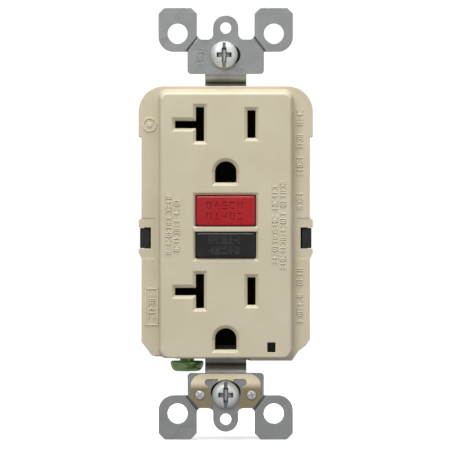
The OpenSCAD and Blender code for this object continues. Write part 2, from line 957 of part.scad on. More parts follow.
module housing_screws() {
    color("#8d8f90") place() housing_axes() {
        translate([0, 0, back_z + 1]) cylinder(r = house_r, h = 27);
        difference() {
            translate([0, 0, back_z + 0.3]) cylinder(r = 2.7, h = 1.6);
            translate([0, 0, back_z + 0.3]) cube([0.8, 3.4, 1.4], center = true);
            translate([0, 0, back_z + 0.3]) cube([3.4, 0.8, 1.4], center = true);
        }
    }
}

// ---- buttons and trip mechanism ----

// A button cap with a rolled front edge
module cap(h) {
    foot_z = 1;
    r = 0.7;
    corner = 0.8;
    roll_z = face_z - r;
    edge = [[roll_z - 0.2, 0], [roll_z, 0], [face_z - 0.3 * r, 0.3 * r], [face_z - EPS, r]];
    slab(foot_z, roll_z - 0.1) round_rect(button_w, h, corner);
    hull()
        for (e = edge) translate([0, 0, e[0]])
            linear_extrude(EPS) round_rect(button_w - 2 * e[1], h - 2 * e[1], corner, $fn = 24);
}

module reset_button() {
    color("#a81f2b") place() translate([0, reset_y, 0])
        difference() {
            cap(reset_h);
            translate([0, 0, -1]) cylinder(r = pin_r, h = 5.5);
        }
}

module reset_pin() {
    tip_z = -17.7;
    flange_z0 = -17.2;
    color("#b0b2b3") place() translate([0, reset_y, 0]) {
        translate([0, 0, flange_z0]) cylinder(r = pin_r, h = 4.5 - flange_z0);
        translate([0, 0, flange_z0]) cylinder(r = 1.55, h = 0.6);
        translate([0, 0, tip_z]) cylinder(r1 = 0.7, r2 = 1.5, h = flange_z0 - tip_z + EPS);
    }
}

module reset_spring() {
    color("#b8babb") place() translate([0, reset_y, parting_z])
        coil_spring(2.3, 0.3, 5.95, 5);
}

module test_button() {
    color("#232323") place() {
        translate([0, test_y, 0]) cap(test_h);
        block([-1.2, test_stem_y - 1, -8.4], [1.2, test_stem_y + 1, 3]);
        block([-0.4, test_stem_y - 0.8, -9.15], [0.4, test_stem_y + 0.8, -7]);
    }
}

module test_blade() {
    color("#b98d4a") place()
        block([-10.8, test_stem_y - 1, -9.6], [3.2, test_stem_y + 1, -9.3]);
}

module contact_carrier() {
    body = [4, 2.7, 2.1];
    color("#d8d2c2") place() difference() {
        union() {
            block([-body[0], reset_y - body[1], carrier_z[0]],
                [body[0], reset_y + body[2], carrier_z[1]]);
            both_sides() {
                block([body[0] - EPS, reset_y - 1.1, arm_z[0] - 1.5],
                    [12.6, reset_y + 1.1, arm_z[0] - 0.5]);
                block([body[0] + 4, reset_y - 0.6, arm_z[0] - 0.51],
                    [12.6, reset_y + 0.6, arm_z[0] - 0.1]);
            }
            block([-2.5, -4.6, -17.5], [2.5, 0.5, -16.8]);
            block([-2.5, -4.6, -16.81], [2.5, -3.95, -15]);
        }
        translate([0, reset_y, 0]) cylinder(r = 1.7, h = FAR, center = true);
        block([-2.7, -3.9, latch_z[0] - 0.1], [2.7, FAR, latch_z[1] + 0.1]);
    }
}

module latch_plate() {
    color("#a9abad") place() difference() {
        union() {
            block([-2.6, -0.9, latch_z[0]], [2.6, 7.2, latch_z[1]]);
            block([-2, 6.6, -19], [2, 7.2, latch_z[0] + EPS]);
        }
        translate([0, reset_y, 0]) cylinder(r = pin_r + 0.1, h = FAR, center = true);
        block([-pin_r - 0.1, reset_y, -FAR], [pin_r + 0.1, reset_y + 1.3, -14]);
        translate([0, reset_y + 1.3, -FAR]) cylinder(r = 1.7, h = FAR);
    }
}

module latch_spring() {
    color("#b8babb") place() translate([0, -3.9, (latch_z[0] + latch_z[1]) / 2])
        rotate([-90, 0, 0]) coil_spring(0.42, 0.12, 2.95, 5);
}

module contact_arm() {
    block([arm_x[0], arm_root_y - 0.4, arm_z[0]], [arm_x[1], reset_y + 1.3, arm_z[1]]);
    translate([(arm_x[0] + arm_x[1]) / 2, reset_y, arm_z[1] - EPS]) cylinder(r = 1.2, h = 0.6);
}

module hot_arm() {
    color("#b46a3c") place() contact_arm();
}

module neutral_arm() {
    color("#b46a3c") place() mirror([1, 0, 0]) contact_arm();
}

// ---- side terminal clamps and screws ----

module clamp() {
    grip_h = 0.25;
    difference() {
        union() {
            block([clamp_x[0], 13.2, -20.6], [clamp_x[1], 24.8, -11.8]);
            for (y = [14, 23.4])
                block([clamp_x[0] - grip_h, y, -20], [clamp_x[0] + EPS, y + 0.6, -12.4]);
        }
        translate([0, term_y, term_z]) rotate([0, 90, 0]) cylinder(r = term_r + running, h = FAR);
    }
}

module terminal_screw() {
    slot = 1;
    translate([0, term_y, term_z]) rotate([0, 90, 0]) difference() {
        union() {
            translate([0, 0, 12.9]) cylinder(r = term_r, h = head_x[0] - 12.8);
            translate([0, 0, head_x[0]]) cylinder(r = term_head_r, h = 1.5);
            translate([0, 0, head_x[0] + 1.5 - EPS])
                cylinder(r1 = term_head_r, r2 = term_head_r - 1, h = 0.8);
        }
        translate([0, 0, head_x[1]]) cube([slot, 9, 2.4], center = true);
        translate([0, 0, head_x[1]]) cube([4.4, slot, 2.4], center = true);
    }
}

module at_terminal(side, end) {
    mirror([side < 0 ? 1 : 0, 0, 0]) mirror([0, end < 0 ? 1 : 0, 0]) children();
}

module line_hot_clamp() {
    color("#b08a4c") place() at_terminal(1, -1) clamp();
}

module line_neutral_clamp() {
    color("#c9c3ae") place() at_terminal(-1, -1) clamp();
}

module load_hot_clamp() {
    color("#b08a4c") place() at_terminal(1, 1) clamp();
}

module load_neutral_clamp() {
    color("#c9c3ae") place() at_terminal(-1, 1) clamp();
}

module line_hot_screw() {
    color("#b08a4c") place() at_terminal(1, -1) terminal_screw();
}

module line_neutral_screw() {
    color("#c9cac8") place() at_terminal(-1, -1) terminal_screw();
}

module load_hot_screw() {
    color("#b08a4c") place() at_terminal(1, 1) terminal_screw();
}

module load_neutral_screw() {
    color("#c9cac8") place() at_terminal(-1, 1) terminal_screw();
}

// ---- mounting and ground screws ----

module washer() {
    half = [4.1, 3.5];
    color("#3a3936") place() difference() {
        block([-half[0], -half[1], -0.95], [half[0], half[1], -0.15]);
        cylinder(r = mount_neck_r + running, h = FAR, center = true);
    }
}

module mounting_screw() {
    head_t = 2.1;
    rim = 0.9;
    color("#b9bbbc") place() difference() {
        union() {
            translate([0, 0, seat_z - mount_len]) cylinder(r = mount_r, h = mount_len - mount_neck_len);
            translate([0, 0, seat_z - mount_neck_len - EPS])
                cylinder(r = mount_neck_r, h = mount_neck_len + 0.2);
            translate([0, 0, seat_z]) cylinder(r = mount_head_r, h = rim);
            translate([0, 0, seat_z + rim - EPS])
                cylinder(r1 = mount_head_r, r2 = 2.2, h = head_t - rim);
        }
        translate([0, 0, seat_z + head_t]) cube([1, 9, 2.2], center = true);
        translate([0, 0, seat_z + head_t]) cube([4, 1.1, 2.2], center = true);
    }
}

module top_washer() {
    translate([top_screw_x, 0, screw_y]) washer();
}

module bottom_washer() {
    translate([0, 0, bottom_screw_y]) washer();
}

module top_mounting_screw() {
    translate([top_screw_x, 0, screw_y]) mounting_screw();
}

module bottom_mounting_screw() {
    translate([0, 0, bottom_screw_y]) mounting_screw();
}

module ground_screw() {
    head_y = [-36.7, -34.1];
    head_r = 4.1;
    color("#2f7a3f") place() translate([ground_x, 0, ground_z]) rotate([90, 0, 0])
        difference() {
            union() {
                translate([0, 0, 28.4]) cylinder(r = 2.08, h = 5.6);
                translate([0, 0, -head_y[1]]) cylinder(r = head_r, h = 1.5);
                translate([0, 0, -head_y[1] + 1.5 - EPS])
                    cylinder(r1 = head_r, r2 = head_r - 0.9, h = 1.1 + EPS);
            }
            translate([0, 0, -head_y[0]]) cube([9, 1.1, 2.2], center = true);
        }
}

mounting_strap();
front_cover();
rear_body();
separator();
grounding_clip();
ground_contacts();
ground_rivets();
hot_contact_frame();
neutral_contact_frame();
fixed_contacts();
line_hot_terminal();
line_neutral_terminal();
line_conductors();
circuit_board();
transformer_housing();
sensing_core();
sensing_winding();
neutral_core();
neutral_winding();
solenoid_frame();
solenoid_bobbin();
solenoid_coil();
varistor();
film_capacitor();
ceramic_capacitors();
control_chip();
scr();
resistors();
diodes();
status_led();
light_pipe();
test_post();
housing_screws();
reset_button();
reset_pin();
reset_spring();
test_button();
test_blade();
contact_carrier();
latch_plate();
latch_spring();
plunger();
plunger_spring();
hot_arm();
neutral_arm();
line_hot_clamp();
line_neutral_clamp();
load_hot_clamp();
load_neutral_clamp();
line_hot_screw();
line_neutral_screw();
load_hot_screw();
load_neutral_screw();
top_washer();
bottom_washer();
top_mounting_screw();
bottom_mounting_screw();
ground_screw();
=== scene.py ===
"""A ground-fault outlet: moulded cover, two engraved buttons, a steel strap and its screws."""

import math

import bmesh
import bpy
from mathutils import Matrix, Vector


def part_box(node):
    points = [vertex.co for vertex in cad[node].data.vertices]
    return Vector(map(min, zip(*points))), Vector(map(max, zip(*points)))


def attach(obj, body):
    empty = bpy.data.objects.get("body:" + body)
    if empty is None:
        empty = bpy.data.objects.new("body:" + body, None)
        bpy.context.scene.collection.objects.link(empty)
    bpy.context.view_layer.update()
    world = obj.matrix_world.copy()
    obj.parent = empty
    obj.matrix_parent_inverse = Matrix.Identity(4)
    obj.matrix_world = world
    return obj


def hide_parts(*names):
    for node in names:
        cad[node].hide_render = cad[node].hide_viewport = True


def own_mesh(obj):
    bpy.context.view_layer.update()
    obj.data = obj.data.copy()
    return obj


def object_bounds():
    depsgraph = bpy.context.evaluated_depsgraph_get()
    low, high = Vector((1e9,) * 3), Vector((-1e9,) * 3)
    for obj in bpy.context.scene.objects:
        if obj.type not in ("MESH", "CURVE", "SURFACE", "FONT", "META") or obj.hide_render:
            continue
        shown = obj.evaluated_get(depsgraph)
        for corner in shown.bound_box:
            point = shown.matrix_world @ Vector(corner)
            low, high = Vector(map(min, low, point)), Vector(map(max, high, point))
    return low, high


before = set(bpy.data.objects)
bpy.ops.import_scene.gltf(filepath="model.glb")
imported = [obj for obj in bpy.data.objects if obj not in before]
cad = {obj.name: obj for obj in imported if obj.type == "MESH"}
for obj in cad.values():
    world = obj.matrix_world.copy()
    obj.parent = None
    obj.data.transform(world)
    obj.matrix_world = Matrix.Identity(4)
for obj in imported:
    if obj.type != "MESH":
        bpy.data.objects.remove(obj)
cad_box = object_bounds()

# Shapes are drawn lying flat in millimetres, with x right, y up and z out of the wall.
STAND = Matrix.Rotation(math.radians(90), 4, "X") @ Matrix.Scale(0.001, 4)
RIGHT = Matrix.Rotation(math.radians(90), 4, "Y")
LEFT = Matrix.Rotation(math.radians(-90), 4, "Y")
DOWN = Matrix.Rotation(math.radians(90), 4, "X")
BACK = Matrix.Rotation(math.radians(180), 4, "Y")

# ---- materials ----


def tone(code):
    """A web colour as linear red, green, blue and alpha."""
    parts = [int(code[i : i + 2], 16) / 255 for i in (1, 3, 5)]
    linear = [p / 12.92 if p <= 0.04045 else ((p + 0.055) / 1.055) ** 2.4 for p in parts]
    return (*linear, 1.0)


def new_finish(name):
    """A material with its shader, and the object coordinates its patterns use."""
    finish = bpy.data.materials.new(name)
    finish.use_nodes = True
    tree = finish.node_tree
    tree.nodes.clear()
    out = tree.nodes.new("ShaderNodeOutputMaterial")
    shader = tree.nodes.new("ShaderNodeBsdfPrincipled")
    tree.links.new(shader.outputs["BSDF"], out.inputs["Surface"])
    place = tree.nodes.new("ShaderNodeTexCoord")
    return finish, tree, shader, place.outputs["Object"]


def stretched(tree, where, scale):
    """The coordinates scaled by a different amount along each axis."""
    node = tree.nodes.new("ShaderNodeMapping")
    node.inputs["Scale"].default_value = scale
    tree.links.new(where, node.inputs["Vector"])
    return node.outputs["Vector"]


def clouds(tree, where, scale, detail=3.0):
    """Soft noise with patches about one metre over scale across."""
    node = tree.nodes.new("ShaderNodeTexNoise")
    node.inputs["Scale"].default_value = scale
    node.inputs["Detail"].default_value = detail
    tree.links.new(where, node.inputs["Vector"])
    return node.outputs["Fac"]


def crystals(tree, where, scale):
    """The flat patches of zinc plating, each with its own grey."""
    node = tree.nodes.new("ShaderNodeTexVoronoi")
    node.inputs["Scale"].default_value = scale
    tree.links.new(where, node.inputs["Vector"])
    split = tree.nodes.new("ShaderNodeSeparateColor")
    tree.links.new(node.outputs["Color"], split.inputs["Color"])
    return split.outputs["Red"]


def ramp(tree, value, stops):
    """Colours along a value, from (place, colour) pairs."""
    node = tree.nodes.new("ShaderNodeValToRGB")
    band = node.color_ramp
    band.elements[0].position, band.elements[0].color = stops[0]
    band.elements[1].position, band.elements[1].color = stops[-1]
    for place, colour in stops[1:-1]:
        band.elements.new(place).color = colour
    tree.links.new(value, node.inputs["Fac"])
    return node.outputs["Color"]


def span(tree, value, low, high, start=0.0, end=1.0):
    """A value between start and end, spread over low to high."""
    node = tree.nodes.new("ShaderNodeMapRange")
    node.inputs["From Min"].default_value = start
    node.inputs["From Max"].default_value = end
    node.inputs["To Min"].default_value = low
    node.inputs["To Max"].default_value = high
    tree.links.new(value, node.inputs["Value"])
    return node.outputs["Result"]


def mixed(tree, amount, first, second, how="MIX"):
    """Two colours mixed by an amount, which is a number or a socket."""
    node = tree.nodes.new("ShaderNodeMix")
    node.data_type = "RGBA"
    node.blend_type = how
    sockets = [s for s in node.inputs if s.type == "RGBA"]
    for socket, value in zip(sockets, (first, second)):
        if isinstance(value, tuple):
            socket.default_value = value
        else:
            tree.links.new(value, socket)
    if isinstance(amount, float):
        node.inputs["Factor"].default_value = amount
    else:
        tree.links.new(amount, node.inputs["Factor"])
    return [s for s in node.outputs if s.type == "RGBA"][0]


def edges(tree, radius):
    """Near 1 along the edges of a shape and 0 on its faces."""
    rounded = tree.nodes.new("ShaderNodeBevel")
    rounded.samples = 4
    rounded.inputs["Radius"].default_value = radius
    plain = tree.nodes.new("ShaderNodeNewGeometry")
    facing = tree.nodes.new("ShaderNodeVectorMath")
    facing.operation = "DOT_PRODUCT"
    tree.links.new(rounded.outputs["Normal"], facing.inputs[0])
    tree.links.new(plain.outputs["Normal"], facing.inputs[1])
    return span(tree, facing.outputs["Value"], 1.0, 0.0, start=0.8, end=1.0)


def relief(tree, shader, height, depth):
    """Bumps of the given depth in metres on the shader."""
    node = tree.nodes.new("ShaderNodeBump")
    node.inputs["Strength"].default_value = 1.0
    node.inputs["Distance"].default_value = depth
    tree.links.new(height, node.inputs["Height"])
    tree.links.new(node.outputs["Normal"], shader.inputs["Normal"])


def moulded(name, base, deep, rubbed_and_lit, rough, grain=0.000006, edge_wear_and_highlight=0.35):
    """Moulded plastic: faint flow clouds, a fine grain, and paler edges that are partly rubbed wear and
    partly painted highlight.
    """
    finish, tree, shader, where = new_finish(name)
    flow = ramp(tree, clouds(tree, where, 90), [(0.35, tone(deep)), (0.65, tone(base))])
    dust = span(tree, clouds(tree, where, 900, 5.0), 0.0, 0.12, 0.5, 0.75)
    dusty = mixed(tree, dust, flow, tone(deep))
    # Paler colour along edges: part rubbed wear, part painted highlight.
    wear_and_highlight = span(tree, edges(tree, 0.0002), 0.0, edge_wear_and_highlight)
    tree.links.new(mixed(tree, wear_and_highlight, dusty, tone(rubbed_and_lit)), shader.inputs["Base Color"])
    skin = clouds(tree, where, 5200, 2.0)
    patch = clouds(tree, where, 240, 4.0)
    tree.links.new(span(tree, patch, rough - 0.06, rough + 0.08, 0.3, 0.7), shader.inputs["Roughness"])
    relief(tree, shader, skin, grain)
    shader.inputs["Specular IOR Level"].default_value = 0.45
    return finish


def plated(name, base, deep, bright, rough, grain=(1.0, 1.0, 1.0), spangle=420, depth=0.000004, shade_below=None,
           metal=1.0):
    """Plated metal: patches, rolling marks, stains, bright edges that are part wear and part painted
    highlight, and painted shade below a height.
    """
    finish, tree, shader, where = new_finish(name)
    shader.inputs["Metallic"].default_value = metal
    patches = crystals(tree, where, spangle)
    stains = clouds(tree, where, 130, 5.0)
    marks = clouds(tree, stretched(tree, where, grain), 2600, 3.0)
    plating = ramp(tree, stains, [(0.32, tone(deep)), (0.62, tone(base))])
    patched = mixed(tree, span(tree, patches, 0.0, 0.22), plating, tone(bright))
    scratched = mixed(tree, span(tree, marks, 0.0, 0.3, 0.45, 0.75), patched, tone(deep))
    # Painted shade: the colour turns towards the given darker colour below a height.
    if shade_below:
        colour, low, high = shade_below
        split = tree.nodes.new("ShaderNodeSeparateXYZ")
        tree.links.new(where, split.inputs["Vector"])
        below = span(tree, split.outputs["Z"], 1.0, 0.0, low, high)
        scratched = mixed(tree, below, scratched, tone(colour))
    # Brighter colour along edges: part wear, part painted highlight.
    wear_and_highlight = span(tree, edges(tree, 0.00015), 0.0, 0.6)
    tree.links.new(mixed(tree, wear_and_highlight, scratched, tone(bright)), shader.inputs["Base Color"])
    tree.links.new(span(tree, stains, rough + 0.1, rough - 0.08, 0.3, 0.7), shader.inputs["Roughness"])
    relief(tree, shader, marks, depth)
    return finish


def rubbery(name, base, deep, fibre=(1.0, 1.0, 1.0)):
    """Pressed fibre: matt, with short pale hairs and a rough skin."""
    finish, tree, shader, where = new_finish(name)
    hairs = clouds(tree, stretched(tree, where, fibre), 1800, 5.0)
    colour = ramp(tree, hairs, [(0.4, tone(deep)), (0.62, tone(base))])
    tree.links.new(colour, shader.inputs["Base Color"])
    tree.links.new(span(tree, hairs, 0.75, 0.95), shader.inputs["Roughness"])
    relief(tree, shader, hairs, 0.00002)
    return finish


def enamelled(name, base, deep, axis):
    """Enamelled wire: each turn a little different, with a wet gloss."""
    finish, tree, shader, where = new_finish(name)
    scale = [400.0, 400.0, 400.0]
    scale[axis] = 4000.0
    turns = clouds(tree, stretched(tree, where, tuple(scale)), 1.0, 2.0)
    colour = ramp(tree, turns, [(0.35, tone(deep)), (0.65, tone(base))])
    tree.links.new(colour, shader.inputs["Base Color"])
    shader.inputs["Metallic"].default_value = 0.55
    shader.inputs["Coat Weight"].default_value = 0.5
    tree.links.new(span(tree, turns, 0.25, 0.42), shader.inputs["Roughness"])
    relief(tree, shader, turns, 0.00002)
    return finish


def solder_mask(name):
    """A circuit board: green mask with paler tracks and tinned pads."""
    finish, tree, shader, where = new_finish(name)
    tracks = tree.nodes.new("ShaderNodeTexBrick")
    tracks.offset = 0.35
    tracks.inputs["Scale"].default_value = 330
    tracks.inputs["Mortar Size"].default_value = 0.055
    tracks.inputs["Color1"].default_value = tone("#1f5a2e")
    tracks.inputs["Color2"].default_value = tone("#235f33")
    tracks.inputs["Mortar"].default_value = tone("#5b9a58")
    turned_up = tree.nodes.new("ShaderNodeMapping")
    turned_up.inputs["Rotation"].default_value = (math.radians(90), 0, 0)
    tree.links.new(where, turned_up.inputs["Vector"])
    tree.links.new(turned_up.outputs["Vector"], tracks.inputs["Vector"])
    weave = clouds(tree, where, 1500, 3.0)
    colour = mixed(tree, span(tree, weave, 0.0, 0.35), tracks.outputs["Color"], tone("#123a1d"))
    tree.links.new(colour, shader.inputs["Base Color"])
    tree.links.new(span(tree, weave, 0.25, 0.4), shader.inputs["Roughness"])
    relief(tree, shader, tracks.outputs["Fac"], 0.00003)
    return finish


def banded(name, base, bands, axis_offset, spacing):
    """A dipped resistor or diode: coloured rings along its length."""
    finish, tree, shader, where = new_finish(name)
    split = tree.nodes.new("ShaderNodeSeparateXYZ")
    tree.links.new(where, split.inputs["Vector"])
    shift = tree.nodes.new("ShaderNodeMath")
    shift.operation = "SUBTRACT"
    shift.inputs[1].default_value = axis_offset
    tree.links.new(split.outputs["Z"], shift.inputs[0])
    again = tree.nodes.new("ShaderNodeMath")
    again.operation = "PINGPONG"
    again.inputs[1].default_value = spacing
    tree.links.new(shift.outputs["Value"], again.inputs[0])
    rings = ramp(tree, span(tree, again.outputs["Value"], 0.0, 1.0, 0.0, spacing), bands)
    speck = clouds(tree, where, 1600, 3.0)
    colour = mixed(tree, span(tree, speck, 0.0, 0.3), rings, tone(base))
    tree.links.new(colour, shader.inputs["Base Color"])
    tree.links.new(span(tree, speck, 0.28, 0.5), shader.inputs["Roughness"])
    relief(tree, shader, speck, 0.00001)
    return finish


def cast_clear(name, base, deep, rough, passes, bend=1.49):
    """Clear or smoked plastic with a few flow lines."""
    finish, tree, shader, where = new_finish(name)
    flow = clouds(tree, where, 700, 3.0)
    colour = ramp(tree, flow, [(0.35, tone(deep)), (0.65, tone(base))])
    tree.links.new(colour, shader.inputs["Base Color"])
    tree.links.new(span(tree, flow, rough, rough + 0.1), shader.inputs["Roughness"])
    shader.inputs["Transmission Weight"].default_value = passes
    shader.inputs["IOR"].default_value = bend
    relief(tree, shader, flow, 0.000008)
    return finish


# The raised marks are the cover's own plastic; their paler tone and bright edges are painted highlight.
IVORY_MARK_HIGHLIT = moulded("ivory_marks_highlit", "#d6cdb6", "#cfc6ad", "#f1ead9", 0.42, edge_wear_and_highlight=0.9)
IVORY = moulded("ivory_plastic", "#cec5ac", "#c9bfa5", "#ded6c0", 0.42, edge_wear_and_highlight=0.5)
BLACK = moulded("black_plastic", "#1f1e1e", "#171616", "#413f3e", 0.45)
TEST_BLACK = moulded("test_black", "#151414", "#100f0f", "#7b7875", 0.38, edge_wear_and_highlight=0.6)
RED = moulded("red_plastic", "#ab0a17", "#9f0813", "#d0454f", 0.36, edge_wear_and_highlight=0.6)
GREY = moulded("grey_plastic", "#3b3a37", "#32312e", "#5c5a56", 0.6)
WHITE = moulded("white_plastic", "#e3dfd1", "#d8d3c3", "#f2efe6", 0.45)
EPOXY = moulded("chip_black", "#2a2a2d", "#202023", "#48484c", 0.55)
BLUE_DIP = moulded("blue_epoxy", "#2e5e9e", "#24508c", "#5d86bd", 0.28, grain=0.00002)
ORANGE_DIP = moulded("orange_epoxy", "#b96b22", "#a55d1b", "#d59350", 0.28, grain=0.00002)
STRAP = plated("strap_steel", "#a9abaa", "#979998", "#c8cac9", 0.44, (0.3, 1.0, 6.0), 380)
SCREW = plated("screw_steel", "#dcdedd", "#c6c8c8", "#f6f7f7", 0.52, (1.0, 5.0, 1.0), 900, metal=0.6)
# Darker steel for the insides of screw recesses and punch marks: painted shade.
RECESS_SHADE = plated("recess_shade_steel", "#8d8f91", "#6c6e70", "#b8babb", 0.42, (1.0, 5.0, 1.0), 1500)
# Darker steel for the faces inside the strap's score lines: painted shade.
GROOVE_SHADE = plated("groove_shade_steel", "#7b7d7d", "#5f6161", "#929494", 0.6, (1.0, 1.0, 4.0), 700)
SPRING = plated("spring_steel", "#c3c5c7", "#999c9f", "#e6e7e8", 0.28, (1.0, 6.0, 1.0), 1500)
# The clip's lower part is darkened as painted shade.
CLIP = plated(
    "clip_brass", "#fdf0d0", "#efddb4", "#fff8e4", 0.42, (2.0, 1.0, 1.0), 500,
    shade_below=("#8e8262", -0.0409, -0.0394), metal=0.05,
)
BRASS = plated("contact_brass", "#c9a05a", "#a97f3e", "#e6c788", 0.34, (1.0, 1.0, 5.0), 600)
TINNED = plated("tinned_brass", "#cfcbbb", "#b0ab99", "#e8e5da", 0.36, (1.0, 1.0, 5.0), 700)
AGED = plated("aged_brass", "#49351c", "#2c1f10", "#73572f", 0.5, (1.0, 1.0, 5.0), 600)
AGED_TIN = plated("aged_tin", "#3a3734", "#242220", "#6a6660", 0.5, (1.0, 1.0, 5.0), 700)
SILVER = plated("contact_silver", "#dcdcd8", "#b9b9b5", "#f4f4f2", 0.25, (5.0, 1.0, 5.0), 900)
COPPER = plated("copper", "#c97a4e", "#a55c35", "#e6a37c", 0.33, (1.0, 1.0, 6.0), 600)
# Green plating whose near-black stains and near-white patches are partly the plating's mottle and partly
# painted reflection.
GREEN_PAINTED_GLINTS = plated("green_steel", "#8bb965", "#173818", "#f4ffd8", 0.2, (1.0, 1.0, 1.0), 240, 0.00002, metal=0.6)
CORE = plated("core_steel", "#55555a", "#3b3b40", "#7c7c82", 0.5, (1.0, 8.0, 1.0), 900)
WIRE = enamelled("enamel_wire", "#c06a34", "#8d4419", 2)
RING_WIRE = enamelled("enamel_ring", "#b9652f", "#863f16", 0)
FIBRE = rubbery("fibre", "#4a4743", "#2c2a27", (1.0, 1.0, 3.0))
BOARD = solder_mask("board")
TAN = banded(
    "tan_epoxy",
    "#c4a878",
    [(0.0, tone("#c9b183")), (0.3, tone("#7a3b1c")), (0.45, tone("#c9b183")), (0.7, tone("#2b2b2b")),
     (0.85, tone("#c9b183"))],
    0.0212,
    0.0018,
)
LAMP = cast_clear("lamp_clear", "#dcefd6", "#c6e0c0", 0.1, 0.85)
SMOKE = cast_clear("smoke_clear", "#17140f", "#0f0d0a", 0.35, 0.0, 1.25)

# ---- shapes ----


def flat(node):
    """The lowest and highest corner of a CAD node, lying flat in millimetres."""
    low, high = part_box(node)
    return (
        Vector((low.x, low.z, -high.y)) * 1000,
        Vector((high.x, high.z, -low.y)) * 1000,
    )


def make_piece(name, bm, body, finish, slot, *nodes, crease=35, matrix=STAND, inner=None):
    """The finished mesh as a piece on its body, with a second, darker finish in its recesses as painted
    shade.
    """
    bmesh.ops.transform(bm, matrix=matrix, verts=bm.verts)
    mesh = bpy.data.meshes.new(name)
    bm.to_mesh(mesh)
    bm.free()
    mesh.materials.append(finish)
    if inner:
        mesh.materials.append(inner)
    mesh.shade_smooth()
    mesh.set_sharp_from_angle(angle=math.radians(crease))
    piece = bpy.data.objects.new(name, mesh)
    bpy.context.scene.collection.objects.link(piece)
    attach(piece, body)
    if nodes:
        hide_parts(*nodes)
    flat_faces(piece)
    return piece


def flat_faces(piece):
    """Shading that follows the large faces, so that flats look flat up to their rounds."""
    even = piece.modifiers.new("even_shading", "WEIGHTED_NORMAL")
    even.weight = 100
    even.keep_sharp = True


def soften(piece, width, segments=2, angle=32):
    """Small rounds along the sharp edges of a piece."""
    edge = piece.modifiers.new("soft_edges", "BEVEL")
    edge.limit_method = "ANGLE"
    edge.angle_limit = math.radians(angle)
    edge.width = width
    edge.segments = segments
    edge.use_clamp_overlap = False
    piece.modifiers.move(len(piece.modifiers) - 1, 0)
    return piece


def copy_of(node, upright=(), level=()):
    """A merged copy of a CAD node's mesh, its flat faces whole between the given lines."""
    bm = bmesh.new()
    bm.from_mesh(cad[node].data)
    bmesh.ops.remove_doubles(bm, verts=bm.verts, dist=0.00003)
    for places, normal in ((upright, Vector((1, 0, 0))), (level, Vector((0, 0, 1)))):
        for place in places:
            whole = bm.verts[:] + bm.edges[:] + bm.faces[:]
            cut = bmesh.ops.bisect_plane(
                bm, geom=whole, dist=0.00002, plane_co=normal * place / 1000, plane_no=normal
            )
            for part in cut["geom_cut"]:
                if isinstance(part, bmesh.types.BMEdge):
                    part.seam = True
    bmesh.ops.dissolve_limit(
        bm, angle_limit=math.radians(1), use_dissolve_boundaries=False, verts=bm.verts, edges=bm.edges,
        delimit={"SEAM"},
    )
    return bm


def copied_piece(name, node, body, finish, slot, width):
    """A CAD node with real rounds along its edges."""
    piece = make_piece(name, copy_of(node), body, finish, slot, node, matrix=Matrix.Identity(4))
    return soften(piece, width)


def block(bm, low, high):
    """A plain block between two corners."""
    made = bmesh.ops.create_cube(bm, size=1.0)["verts"]
    bmesh.ops.scale(bm, vec=[b - a for a, b in zip(low, high)], verts=made)
    bmesh.ops.translate(bm, vec=[(a + b) / 2 for a, b in zip(low, high)], verts=made)
    return made


def round_off(bm, chosen, width, segments):
    """Rounds along the chosen edges."""
    bmesh.ops.bevel(
        bm, geom=chosen, offset=width, segments=segments, profile=0.5, affect="EDGES", material=-1,
        clamp_overlap=True,
    )


def turned(bm, profile, steps=48):
    """A turned shape about the z axis, from (radius, height) pairs."""
    points = [bm.verts.new((r, 0, h)) for r, h in profile]
    lines = [bm.edges.new(pair) for pair in zip(points, points[1:])]
    bmesh.ops.spin(
        bm, geom=points + lines, cent=(0, 0, 0), axis=(0, 0, 1), dvec=(0, 0, 0),
        angle=math.tau, steps=steps, use_merge=True, use_duplicate=False,
    )
    bmesh.ops.remove_doubles(bm, verts=bm.verts, dist=0.0005)


def wound(bm, section, stages, steps):
    """A section swept round the z axis, from (turns, rise) stages."""
    geom = section
    for turns, rise in stages:
        count = max(1, round(turns * steps))
        made = bmesh.ops.spin(
            bm, geom=geom, cent=(0, 0, 0), axis=(0, 0, 1), dvec=(0, 0, rise / count),
            angle=math.tau * turns, steps=count, use_merge=False, use_duplicate=False,
        )
        geom = made["geom_last"]
    bmesh.ops.holes_fill(bm, edges=[e for e in bm.edges if e.is_boundary], sides=0)


def coil(bm, radius, wire, length, turns, steps=20):
    """A coil spring with closed end turns, standing on z = 0."""
    made = bmesh.ops.create_circle(bm, cap_ends=False, segments=8, radius=wire)["verts"]
    bmesh.ops.rotate(bm, cent=(0, 0, 0), matrix=Matrix.Rotation(math.radians(90), 3, "X"), verts=made)
    bmesh.ops.translate(bm, vec=(radius, 0, wire), verts=made)
    section = made + list({e for v in made for e in v.link_edges})
    closed = 1.9 * wire
    free = length - 2 * wire - 2 * closed
    wound(bm, section, [(1, closed), (turns - 2, free), (1, closed)], steps)


def thread(bm, core, crest, low, high, pitch, steps=16):
    """A ridge wound round the z axis from low to high."""
    points = [
        bm.verts.new((core - 0.08, 0, low)),
        bm.verts.new((crest, 0, low + pitch * 0.4)),
        bm.verts.new((crest, 0, low + pitch * 0.5)),
        bm.verts.new((core - 0.08, 0, low + pitch * 0.9)),
    ]
    lines = [bm.edges.new((a, b)) for a, b in zip(points, points[1:] + points[:1])]
    rise = high - low - pitch
    wound(bm, points + lines, [(rise / pitch, rise)], steps)


def cut_lines(bm, axis, places):
    """Cuts across the whole shape at places along an axis."""
    normal = [0, 0, 0]
    normal[axis] = 1
    for place in sorted(set(round(p, 5) for p in places)):
        point = [0, 0, 0]
        point[axis] = place
        whole = bm.verts[:] + bm.edges[:] + bm.faces[:]
        bmesh.ops.bisect_plane(bm, geom=whole, dist=0.00001, plane_co=point, plane_no=normal)


